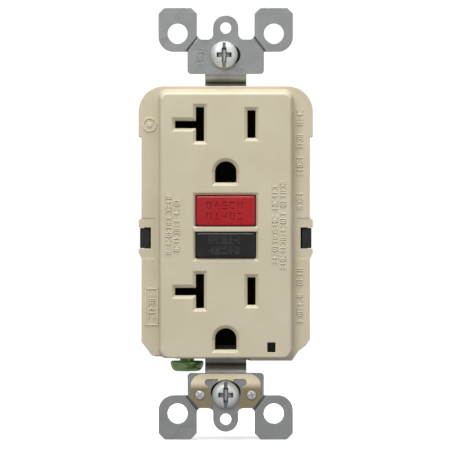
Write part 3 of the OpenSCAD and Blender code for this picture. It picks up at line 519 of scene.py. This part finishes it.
def engrave(bm, marks, top, depth, slope):
    """Sinks rectangles (x0, y0, x1, y1) into the flat top of a shape."""
    bm.normal_update()
    cut_lines(bm, 0, [x for m in marks for x in (m[0], m[2])])
    cut_lines(bm, 1, [y for m in marks for y in (m[1], m[3])])
    floor = []
    for face in bm.faces:
        c = face.calc_center_median()
        if face.normal.z > 0.9 and abs(c.z - top) < 0.02:
            if any(m[0] < c.x < m[2] and m[1] < c.y < m[3] for m in marks):
                floor.append(face)
    bmesh.ops.inset_region(bm, faces=floor, thickness=slope, use_even_offset=True, use_boundary=True)
    sunk = list({v for f in floor for v in f.verts})
    bmesh.ops.translate(bm, vec=(0, 0, -depth), verts=sunk)


# Made-up signs, each a few bars in a cell one unit long and one unit high
STROKE = 0.24
POST_LEFT = (0.0, 0.0, STROKE, 1.0)
POST_RIGHT = (0.46, 0.0, 0.7, 1.0)
POST_MIDDLE = (0.23, 0.0, 0.47, 1.0)
BASE = (0.0, 0.0, 0.7, 0.18)
ROOF = (0.0, 0.82, 0.7, 1.0)
BELT = (0.0, 0.41, 0.7, 0.59)
SIGNS = [
    [POST_LEFT, POST_RIGHT],
    [BASE, ROOF, BELT],
    [POST_LEFT, POST_RIGHT, BASE, ROOF],
    [POST_MIDDLE, BELT],
    [BASE, POST_MIDDLE],
    [BASE, ROOF],
    [POST_RIGHT, BELT],
    [POST_LEFT, BASE, ROOF],
]
SIGN_ORDER = [2, 3, 1, 7, 0, 4, 6, 2, 5, 3, 1, 0, 7, 6, 4, 5]


def signs(length, height, cell, first=0):
    """The bars of a row of made-up signs, with its length along x."""
    count = max(1, round(length / cell))
    step = length / count
    bars = []
    for k in range(count):
        for x0, y0, x1, y1 in SIGNS[SIGN_ORDER[(k + first) % len(SIGN_ORDER)]]:
            bars.append((step * (k + x0), height * y0, step * (k + x1), height * y1))
    return bars


# ---- cover ----

FACE = 7.0
FACE_MARK = 0.25
FLANGE = 2.8

# Lines through the openings, so that no face of the cover runs right round one
COVER_UPRIGHTS = (-19.6, -15.5, -10.2, -6.35, 0.0, 3.3, 6.35, 11.25, 15.5, 19.6)
COVER_LEVELS = (31.5, 24.5, 18.6, 12.6, 8.2, 3.4, -1.1, -5.9, -10.4, -16.7, -22.8, -28.6, -30.55)

# Upright rows of raised marks: (left, right, top, bottom, level)
MARK_ROWS = [
    (-14.8, -13.35, 6.8, 2.3, FACE - FACE_MARK),
    (-14.8, -13.35, 1.4, -7.8, FACE - FACE_MARK),
    (-12.85, -11.4, 6.2, 1.8, FACE - FACE_MARK),
    (-12.85, -11.4, 0.9, -7.2, FACE - FACE_MARK),
    (11.4, 12.8, 9.2, 3.0, FACE - FACE_MARK),
    (11.4, 12.8, 2.0, -10.2, FACE - FACE_MARK),
    (13.4, 14.8, 10.5, 3.8, FACE - FACE_MARK),
    (13.4, 14.8, 2.8, -11.6, FACE - FACE_MARK),
    (17.55, 19.05, 28.4, 24.0, FLANGE),
    (17.55, 19.05, 22.0, 18.3, FLANGE),
    (17.55, 19.05, 16.6, 11.6, FLANGE),
    (17.55, 19.05, 7.7, 3.3, FLANGE),
    (17.55, 19.05, -11.0, -15.6, FLANGE),
    (17.55, 19.05, -17.6, -24.7, FLANGE),
    (-19.2, -17.5, -17.4, -23.8, FLANGE),
]


def make_cover():
    """The cover, with its face and rolled edge set back by the height of the marks on it."""
    edge_depth = 1.1
    bm = copy_of("front_cover", COVER_UPRIGHTS, COVER_LEVELS)
    for vert in bm.verts:
        if vert.co.y < -(FACE - edge_depth) / 1000:
            vert.co.y += FACE_MARK / 1000
    piece = make_piece(
        "cover_shell", bm, "housing", IVORY, "ivory_plastic", "front_cover", matrix=Matrix.Identity(4)
    )
    soften(piece, 0.00012)


def make_cover_marks():
    """Rows of raised made-up signs, a round badge and a framed one on the flange."""
    bm = bmesh.new()
    for k, (left, right, top, bottom, level) in enumerate(MARK_ROWS):
        for x0, y0, x1, y1 in signs(top - bottom, right - left, 1.05, k * 3):
            block(bm, (left + y0, top - x1, level - 0.1), (left + y1, top - x0, level + FACE_MARK))
    for y0, y1, x0, x1 in [(-16.0, -16.3, -19.9, -16.7), (-24.9, -25.2, -19.9, -16.7),
                           (-16.0, -25.2, -19.9, -19.65), (-16.0, -25.2, -16.95, -16.7)]:
        block(bm, (x0, y1, FLANGE - 0.1), (x1, y0, FLANGE + FACE_MARK))
    badge = bmesh.new()
    top = FLANGE + FACE_MARK
    foot = FLANGE - 0.1
    turned(badge, [(1.45, foot), (1.45, top), (1.75, top), (1.75, foot), (1.45, foot)])
    turned(badge, [(0.0, top), (0.55, top), (0.6, top - 0.05), (0.6, foot), (0.0, foot)], 20)
    bmesh.ops.translate(badge, vec=(-18.8, 24.4, 0), verts=badge.verts)
    bmesh.ops.recalc_face_normals(badge, faces=badge.faces)
    ring = bpy.data.meshes.new("badge")
    badge.to_mesh(ring)
    badge.free()
    bm.from_mesh(ring)
    piece = make_piece("cover_marks", bm, "housing", IVORY_MARK_HIGHLIT, "ivory_plastic")
    soften(piece, 0.00006)


def make_button_bar():
    """The flat-topped bar between the two buttons, a gap clear of both."""
    gap = 0.2
    past_button = 0.75
    reset_low = flat("reset_button")[0]
    test_high = flat("test_button")[1]
    half = -reset_low.x + gap + past_button
    bm = bmesh.new()
    block(bm, (-half, test_high.y + gap, 4.5), (half, reset_low.y - gap, FACE - FACE_MARK + 0.05))
    soften(make_piece("button_bar", bm, "housing", IVORY, "ivory_plastic"), 0.0003, 3)


def make_hole_shade_card():
    """A black card over the edge of the strap, just inside the lower ground hole: painted shade that darkens
    the hole where the lit strap would show.
    """
    bm = bmesh.new()
    block(bm, (-3.0, -31.5, -2.49), (3.0, -30.15, -2.36))
    soften(make_piece("hole_shade_card", bm, "housing", BLACK, "black_plastic"), 0.00003)


make_cover()
make_cover_marks()
make_button_bar()
make_hole_shade_card()

# ---- buttons ----


def cap(bm, low, high):
    """A button cap with round corners and a rolled front edge."""
    made = block(bm, low, high)
    around = {e for v in made for e in v.link_edges}
    upright = [e for e in around if abs(e.verts[0].co.z - e.verts[1].co.z) > 1]
    round_off(bm, upright, 0.5, 4)
    rim = [e for e in bm.edges if all(v.co.z > high[2] - 0.001 for v in e.verts)]
    round_off(bm, rim, 0.42, 4)


def placed_signs(left, bottom, length, height, cell, first):
    """A row of made-up signs placed on a button."""
    bars = signs(length, height, cell, first)
    return [(left + a, bottom + b, left + c, bottom + d) for a, b, c, d in bars]


def make_reset_button():
    """The red button with two engraved rows."""
    low, high = flat("reset_button")
    bm = bmesh.new()
    cap(bm, (low.x, low.y, low.z), (high.x, high.y, high.z))
    marks = placed_signs(-4.8, 3.5, 9.6, 1.9, 1.75, 0) + placed_signs(-4.8, 0.8, 9.6, 1.9, 1.75, 4)
    engrave(bm, marks, high.z, 0.35, 0.1)
    make_piece("reset_cap", bm, "reset", RED, "red_plastic", "reset_button", crease=40)


def make_test_button():
    """The black button with two fainter rows and its stem."""
    low, high = flat("test_button")
    bm = bmesh.new()
    cap(bm, (low.x, low.y, 1.0), (high.x, high.y, high.z))
    marks = placed_signs(-4.2, -4.9, 8.0, 1.7, 1.6, 2) + placed_signs(-4.2, -7.5, 8.0, 1.7, 1.6, 6)
    engrave(bm, marks, high.z, 0.22, 0.08)
    block(bm, (-1.2, -7.4, -8.4), (1.2, -5.4, 1.2))
    block(bm, (-0.4, -7.2, low.z), (0.4, -5.6, -8.3))
    make_piece("test_cap", bm, "test", TEST_BLACK, "black_plastic", "test_button", crease=40)


make_reset_button()
make_test_button()

# ---- screws ----


def head_recess(bm, seat, floor, slot_half, slot_end, arm_half, arm_end):
    """A slot and a cross sunk into the head above the seat, with walls and slot floor in the second, darker
    finish: painted shade in the recess.
    """
    edge_places = [-slot_end, -arm_end, -arm_half, -slot_half, slot_half, arm_half, arm_end, slot_end]
    for axis in (0, 1):
        normal = [0, 0, 0]
        normal[axis] = 1
        for place in edge_places:
            point = [0, 0, 0]
            point[axis] = place
            head = [f for f in bm.faces if f.calc_center_median().z > seat and f.normal.z > 0.05]
            geom = list({x for f in head for x in (*f.verts, *f.edges)}) + head
            bmesh.ops.bisect_plane(bm, geom=geom, dist=0.0001, plane_co=point, plane_no=normal)
    for inside, depth, floor_finish, taper in (
        (lambda c: abs(c.x) < slot_half and abs(c.y) < slot_end, floor[0], 1, (0.9, 0.96, 1.0)),
        (lambda c: (abs(c.x) < arm_half and abs(c.y) < arm_end)
         or (abs(c.y) < arm_half and abs(c.x) < arm_end), floor[1], 0, (0.74, 0.74, 1.0)),
    ):
        chosen = []
        for face in bm.faces:
            centre = face.calc_center_median()
            if face.normal.z > 0.3 and centre.z > seat and inside(centre):
                chosen.append(face)
        made = bmesh.ops.inset_region(
            bm, faces=chosen, thickness=0.0, use_even_offset=True, use_boundary=True
        )
        for face in made["faces"]:
            face.material_index = 1
        for face in chosen:
            face.material_index = floor_finish
        sunk = list({v for f in chosen for v in f.verts})
        for vert in sunk:
            vert.co.z = depth
        bmesh.ops.scale(bm, vec=taper, verts=sunk)


MOUNT_HEAD = [(0.0, 2.1), (1.7, 2.08), (2.35, 1.92), (2.85, 1.6), (3.2, 1.12), (3.35, 0.7), (3.33, 0.15),
              (3.2, 0.0), (1.4, 0.0)]
TERMINAL_HEAD = [(0.0, 2.3), (2.3, 2.27), (3.0, 2.1), (3.5, 1.7), (3.76, 1.2), (3.8, 0.25), (3.6, 0.0),
                 (1.65, 0.0)]
HOUSING_HEAD = [(0.0, 1.6), (1.8, 1.52), (2.4, 1.2), (2.7, 0.6), (2.65, 0.1), (2.5, 0.0), (1.2, 0.0)]


def screw_shape(head, shank, crest, threaded, pitch, recess):
    """A screw along z with its head above z = 0: shank points, then the thread over a stretch."""
    bm = bmesh.new()
    turned(bm, head + shank + [(0.0, shank[-1][1])])
    bmesh.ops.recalc_face_normals(bm, faces=bm.faces)
    if recess:
        head_recess(bm, 0.3, *recess)
    ridge = bmesh.new()
    thread(ridge, threaded[2], crest, threaded[0], threaded[1], pitch)
    bmesh.ops.recalc_face_normals(ridge, faces=ridge.faces)
    mesh = bpy.data.meshes.new("ridge")
    ridge.to_mesh(mesh)
    ridge.free()
    bm.from_mesh(mesh)
    return bm


def make_mounting_screw(name, node, body):
    """A pan-head machine screw with a combined slot and cross recess."""
    low, high = flat(node)
    shank = [(1.4, -2.6), (1.45, -2.6), (1.45, -24.6), (1.05, -25.0)]
    recess = ((1.2, 0.6), 0.44, 3.2, 0.6, 1.85)
    bm = screw_shape(MOUNT_HEAD, shank, 1.75, (-24.7, -2.6, 1.45), 0.79, recess)
    middle = ((low.x + high.x) / 2, (low.y + high.y) / 2, high.z - 2.1)
    bmesh.ops.translate(bm, vec=middle, verts=bm.verts)
    make_piece(name, bm, body, SCREW, "screw_steel", node, crease=30, inner=RECESS_SHADE)


def make_terminal_screw(name, side, end, finish, slot):
    """A wide-headed terminal screw, lying across the body."""
    node = f"{name}_screw"
    shank = [(1.65, -4.3), (1.3, -4.7)]
    recess = ((1.5, 0.9), 0.5, 3.5, 0.6, 2.2)
    bm = screw_shape(TERMINAL_HEAD, shank, 2.0, (-4.6, -0.1, 1.65), 0.794, recess)
    bmesh.ops.transform(bm, matrix=RIGHT if side > 0 else LEFT, verts=bm.verts)
    bmesh.ops.translate(bm, vec=(side * 17.6, end * 19.0, -16.2), verts=bm.verts)
    make_piece(f"{name}_screw_turned", bm, node, finish, slot, node, crease=30, inner=RECESS_SHADE)


GROUND_HEAD = [(0.0, 2.6), (2.6, 2.59), (3.15, 2.45), (3.6, 2.1), (3.9, 1.5), (4.07, 0.9), (4.1, 0.45),
               (4.0, 0.12), (3.8, 0.0), (1.75, 0.0)]


def make_ground_screw():
    """The green ground screw: a wide rolled head with a slot, pointing down."""
    shank = [(1.75, -5.0), (1.4, -5.4)]
    slot_half = 0.55
    slot_floor = 1.5
    bm = screw_shape(GROUND_HEAD, shank, 2.08, (-5.3, -0.1, 1.75), 0.9, None)
    cut_lines(bm, 1, [-slot_half, slot_half])
    floor = []
    for face in bm.faces:
        centre = face.calc_center_median()
        if face.normal.z > 0.3 and centre.z > 1.6 and abs(centre.y) < slot_half:
            floor.append(face)
    made = bmesh.ops.inset_region(bm, faces=floor, thickness=0.0, use_even_offset=True, use_boundary=True)
    # The slot's floor and walls take the darker recess steel: painted shade in the slot.
    for face in floor + made["faces"]:
        face.material_index = 1
    for vert in {v for f in floor for v in f.verts}:
        vert.co.z = slot_floor
    bmesh.ops.transform(bm, matrix=DOWN, verts=bm.verts)
    bmesh.ops.translate(bm, vec=(-9.6, -34.1, -6.0), verts=bm.verts)
    make_piece(
        "ground_screw_turned", bm, "ground_screw", GREEN_PAINTED_GLINTS, "green_steel", "ground_screw",
        crease=40, inner=RECESS_SHADE,
    )


def make_housing_screws():
    """The four long screws that hold the rear body to the cover."""
    whole = bmesh.new()
    for x in (-17.0, 17.0):
        for y in (-28.9, 28.9):
            recess = ((0.75, 0.55), 0.4, 1.7, 0.42, 1.7)
            shank = [(1.2, -25.6), (0.4, -26.1)]
            bm = screw_shape(HOUSING_HEAD, shank, 1.45, (-25.6, -10.0, 1.2), 1.2, recess)
            bmesh.ops.transform(bm, matrix=BACK, verts=bm.verts)
            bmesh.ops.translate(bm, vec=(x, y, -25.1), verts=bm.verts)
            mesh = bpy.data.meshes.new("one_screw")
            bm.to_mesh(mesh)
            bm.free()
            whole.from_mesh(mesh)
    make_piece(
        "housing_screws_turned", whole, "housing", SCREW, "screw_steel", "housing_screws",
        crease=30, inner=RECESS_SHADE,
    )


make_mounting_screw("top_screw_turned", "top_mounting_screw", "top_screw")
make_mounting_screw("bottom_screw_turned", "bottom_mounting_screw", "bottom_screw")
make_terminal_screw("line_hot", 1, -1, BRASS, "contact_brass")
make_terminal_screw("load_hot", 1, 1, BRASS, "contact_brass")
make_terminal_screw("line_neutral", -1, -1, SCREW, "screw_steel")
make_terminal_screw("load_neutral", -1, 1, SCREW, "screw_steel")
make_ground_screw()
make_housing_screws()

# ---- springs and windings ----


def make_springs():
    """The three coil springs, each with a mesh of its own."""
    bm = bmesh.new()
    coil(bm, 2.3, 0.3, 5.95, 6)
    bmesh.ops.recalc_face_normals(bm, faces=bm.faces)
    bmesh.ops.translate(bm, vec=(0, 3.1, -5.0), verts=bm.verts)
    piece = make_piece("reset_coil", bm, "housing", SPRING, "spring_steel", "reset_spring")
    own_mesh(piece)

    bm = bmesh.new()
    coil(bm, 0.95, 0.18, 6.4, 9, 16)
    bmesh.ops.recalc_face_normals(bm, faces=bm.faces)
    bmesh.ops.transform(bm, matrix=Matrix.Rotation(math.radians(-90), 4, "X"), verts=bm.verts)
    bmesh.ops.translate(bm, vec=(0, 17.8, -17.6), verts=bm.verts)
    piece = make_piece("plunger_coil", bm, "housing", SPRING, "spring_steel", "plunger_spring")
    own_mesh(piece)

    bm = bmesh.new()
    coil(bm, 0.42, 0.11, 2.95, 7, 14)
    bmesh.ops.recalc_face_normals(bm, faces=bm.faces)
    bmesh.ops.transform(bm, matrix=Matrix.Rotation(math.radians(-90), 4, "X"), verts=bm.verts)
    bmesh.ops.translate(bm, vec=(0, -3.9, -16.0), verts=bm.verts)
    piece = make_piece("latch_coil", bm, "carrier", SPRING, "spring_steel", "latch_spring")
    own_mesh(piece)


def make_solenoid_winding():
    """Fine wire wound in touching turns on the solenoid's bobbin."""
    bm = bmesh.new()
    made = bmesh.ops.create_circle(bm, cap_ends=False, segments=6, radius=0.14)["verts"]
    bmesh.ops.rotate(bm, cent=(0, 0, 0), matrix=Matrix.Rotation(math.radians(90), 3, "X"), verts=made)
    bmesh.ops.translate(bm, vec=(2.75, 0, 0.15), verts=made)
    section = made + list({e for v in made for e in v.link_edges})
    wound(bm, section, [(47, 13.1)], 24)
    turned(bm, [(1.8, 0.0), (2.7, 0.0), (2.7, 13.4), (1.8, 13.4), (1.8, 0.0)], 32)
    bmesh.ops.recalc_face_normals(bm, faces=bm.faces)
    bmesh.ops.transform(bm, matrix=Matrix.Rotation(math.radians(-90), 4, "X"), verts=bm.verts)
    bmesh.ops.translate(bm, vec=(0, 10.3, -17.6), verts=bm.verts)
    make_piece("solenoid_winding", bm, "housing", WIRE, "enamel_wire", "solenoid_coil")


make_springs()
make_solenoid_winding()

# ---- strap, rear body and the other CAD shapes ----


def make_strap():
    """The strap with rounded sheared edges, score lines darkened with painted shade, and small stamped
    marks.
    """
    bm = copy_of("mounting_strap")
    bm.normal_update()
    # Faces inside the two score lines take the darker groove steel: painted shade in the grooves.
    for face in bm.faces:
        centre = face.calc_center_median() * 1000
        if 7.3 < abs(centre.x) < 9.7 and 42.6 < abs(centre.z) < 45.7 and -1.25 < centre.y < -0.9:
            face.material_index = 1
    piece = make_piece(
        "strap_plate", bm, "housing", STRAP, "strap_steel", "mounting_strap",
        matrix=Matrix.Identity(4), inner=GROOVE_SHADE,
    )
    soften(piece, 0.00012)
    bm = bmesh.new()
    for x0, y0, x1, y1 in signs(4.4, 1.3, 0.95, 2):
        block(bm, (-6.9 + y0, 43.4 - x1, 1.2), (-6.9 + y1, 43.4 - x0, 1.45))
    for x0, y0, x1, y1 in signs(2.6, 0.7, 0.6, 5):
        block(bm, (2.6 + x0, 37.9 + y0, 1.2), (2.6 + x1, 37.9 + y1, 1.42))
    soften(make_piece("strap_stamps", bm, "housing", STRAP, "strap_steel"), 0.00005)


STAKED_HEAD = [(0.0, 0.3), (0.6, 0.28), (0.95, 0.18), (1.12, 0.02), (1.12, -0.12), (0.0, -0.12)]


def make_staked_heads():
    """The two spread rivet heads that hold the clip, each with a crossed punch mark."""
    whole = bmesh.new()
    for side, turn in ((-1, 40), (1, 12)):
        bm = bmesh.new()
        turned(bm, STAKED_HEAD, 32)
        bmesh.ops.recalc_face_normals(bm, faces=bm.faces)
        head_recess(bm, 0.03, (0.1, 0.06), 0.14, 0.85, 0.16, 0.8)
        turn_by = Matrix.Rotation(math.radians(turn), 3, "Z")
        bmesh.ops.rotate(bm, cent=(0, 0, 0), matrix=turn_by, verts=bm.verts)
        bmesh.ops.translate(bm, vec=(side * 6.4, -42.4, 2.03), verts=bm.verts)
        mesh = bpy.data.meshes.new("one_head")
        bm.to_mesh(mesh)
        bm.free()
        whole.from_mesh(mesh)
    make_piece("staked_heads", whole, "housing", SCREW, "strap_steel", crease=25, inner=RECESS_SHADE)


def make_rear_body():
    """The rear body, with sunk panels, wire gauges and marks on its back."""
    bm = copy_of("rear_body")
    bmesh.ops.transform(bm, matrix=STAND.inverted(), verts=bm.verts)
    bmesh.ops.transform(bm, matrix=BACK, verts=bm.verts)
    panels = [(-8.5, -7.0, 8.5, 7.0), (-10.0, 12.6, -8.6, 25.4), (8.6, -25.4, 10.0, -12.6)]
    panels += placed_signs(-5.5, 27.4, 11.0, 1.8, 1.5, 1) + placed_signs(-5.5, -29.2, 11.0, 1.8, 1.5, 5)
    engrave(bm, panels, 27.0, 0.35, 0.06)
    bmesh.ops.transform(bm, matrix=BACK.inverted(), verts=bm.verts)
    soften(make_piece("rear_shell", bm, "housing", BLACK, "black_plastic", "rear_body"), 0.00018)


make_strap()
make_staked_heads()
make_rear_body()
copied_piece("clip_plate", "grounding_clip", "housing", CLIP, "clip_brass", 0.0001)
copied_piece("lamp_window", "light_pipe", "housing", SMOKE, "smoke_clear", 0.0001)

CAD_FINISHES = {
    "separator": GREY,
    "ground_contacts": AGED,
    "ground_rivets": SCREW,
    "hot_contact_frame": AGED,
    "neutral_contact_frame": AGED_TIN,
    "fixed_contacts": SILVER,
    "line_hot_terminal": BRASS,
    "line_neutral_terminal": TINNED,
    "line_conductors": COPPER,
    "circuit_board": BOARD,
    "transformer_housing": WHITE,
    "sensing_core": CORE,
    "sensing_winding": RING_WIRE,
    "neutral_core": CORE,
    "neutral_winding": RING_WIRE,
    "solenoid_frame": SCREW,
    "solenoid_bobbin": WHITE,
    "varistor": BLUE_DIP,
    "film_capacitor": ORANGE_DIP,
    "ceramic_capacitors": ORANGE_DIP,
    "control_chip": EPOXY,
    "scr": EPOXY,
    "resistors": TAN,
    "diodes": EPOXY,
    "status_led": LAMP,
    "test_post": TINNED,
    "reset_pin": SCREW,
    "test_blade": BRASS,
    "contact_carrier": WHITE,
    "latch_plate": SCREW,
    "plunger": SCREW,
    "hot_arm": COPPER,
    "neutral_arm": COPPER,
    "line_hot_clamp": BRASS,
    "load_hot_clamp": BRASS,
    "line_neutral_clamp": TINNED,
    "load_neutral_clamp": TINNED,
    "top_washer": FIBRE,
    "bottom_washer": FIBRE,
}


def finish_cad_nodes():
    """Each remaining CAD node gets its finish."""
    for name, finish in CAD_FINISHES.items():
        slots = cad[name].material_slots
        if not slots:
            cad[name].data.materials.append(finish)
        for slot in cad[name].material_slots:
            slot.material = finish


finish_cad_nodes()

# ---- camera, light and floor ----


def soft_light(name, place, size, power):
    """A soft square light aimed at the middle of the object."""
    data = bpy.data.lights.new(name, "AREA")
    data.size = size
    data.energy = power
    lamp = bpy.data.objects.new(name, data)
    lamp.location = place
    lamp.rotation_euler = (-Vector(place)).to_track_quat("-Z", "Y").to_euler()
    bpy.context.scene.collection.objects.link(lamp)


def set_camera():
    """A long lens straight in front, a little off the middle as the outlet is framed."""
    distance = 1.5
    width = 0.1114
    data = bpy.data.cameras.new("front")
    data.sensor_width = 36
    data.lens = 36 * distance / width
    data.clip_start = 0.05
    camera = bpy.data.objects.new("front", data)
    camera.location = (-0.00018, -distance, -0.00038)
    camera.rotation_euler = (math.radians(90), 0, 0)
    bpy.context.scene.collection.objects.link(camera)
    bpy.context.scene.camera = camera


def set_floor():
    """A plain pale floor just under the outlet."""
    bm = bmesh.new()
    bmesh.ops.create_grid(bm, x_segments=2, y_segments=2, size=0.6)
    mesh = bpy.data.meshes.new("floor")
    bm.to_mesh(mesh)
    bm.free()
    finish, tree, shader, where = new_finish("floor_paint")
    speck = clouds(tree, where, 30, 3.0)
    colour = ramp(tree, speck, [(0.3, tone("#f1f1f0")), (0.7, tone("#f7f7f6"))])
    tree.links.new(colour, shader.inputs["Base Color"])
    tree.links.new(span(tree, speck, 0.85, 0.95), shader.inputs["Roughness"])
    shader.inputs["Emission Color"].default_value = (1, 1, 1, 1)
    shader.inputs["Emission Strength"].default_value = 0.55
    mesh.materials.append(finish)
    floor = bpy.data.objects.new("floor", mesh)
    floor.location = (0, 0, cad_box[0][2] - 0.0002)
    bpy.context.scene.collection.objects.link(floor)
    floor.visible_glossy = False
    floor.visible_diffuse = False


def set_surround(light, seen):
    """Even white all round: how much light it gives, and how bright it looks."""
    world = bpy.data.worlds.new("surround")
    world.use_nodes = True
    tree = world.node_tree
    back = tree.nodes["Background"]
    path = tree.nodes.new("ShaderNodeLightPath")
    level = span(tree, path.outputs["Is Camera Ray"], light, seen)
    tree.links.new(level, back.inputs["Strength"])
    back.inputs["Color"].default_value = (1, 1, 1, 1)
    bpy.context.scene.world = world


bpy.context.scene.view_settings.view_transform = "Standard"
set_camera()
set_floor()
set_surround(0.4, 1.05)
soft_light("key", (-0.25, -0.75, 0.6), 0.5, 5.0)
soft_light("top", (0.03, -0.12, 0.8), 0.5, 6.0)
soft_light("fill", (0.6, -0.7, 0.1), 0.6, 0.8)
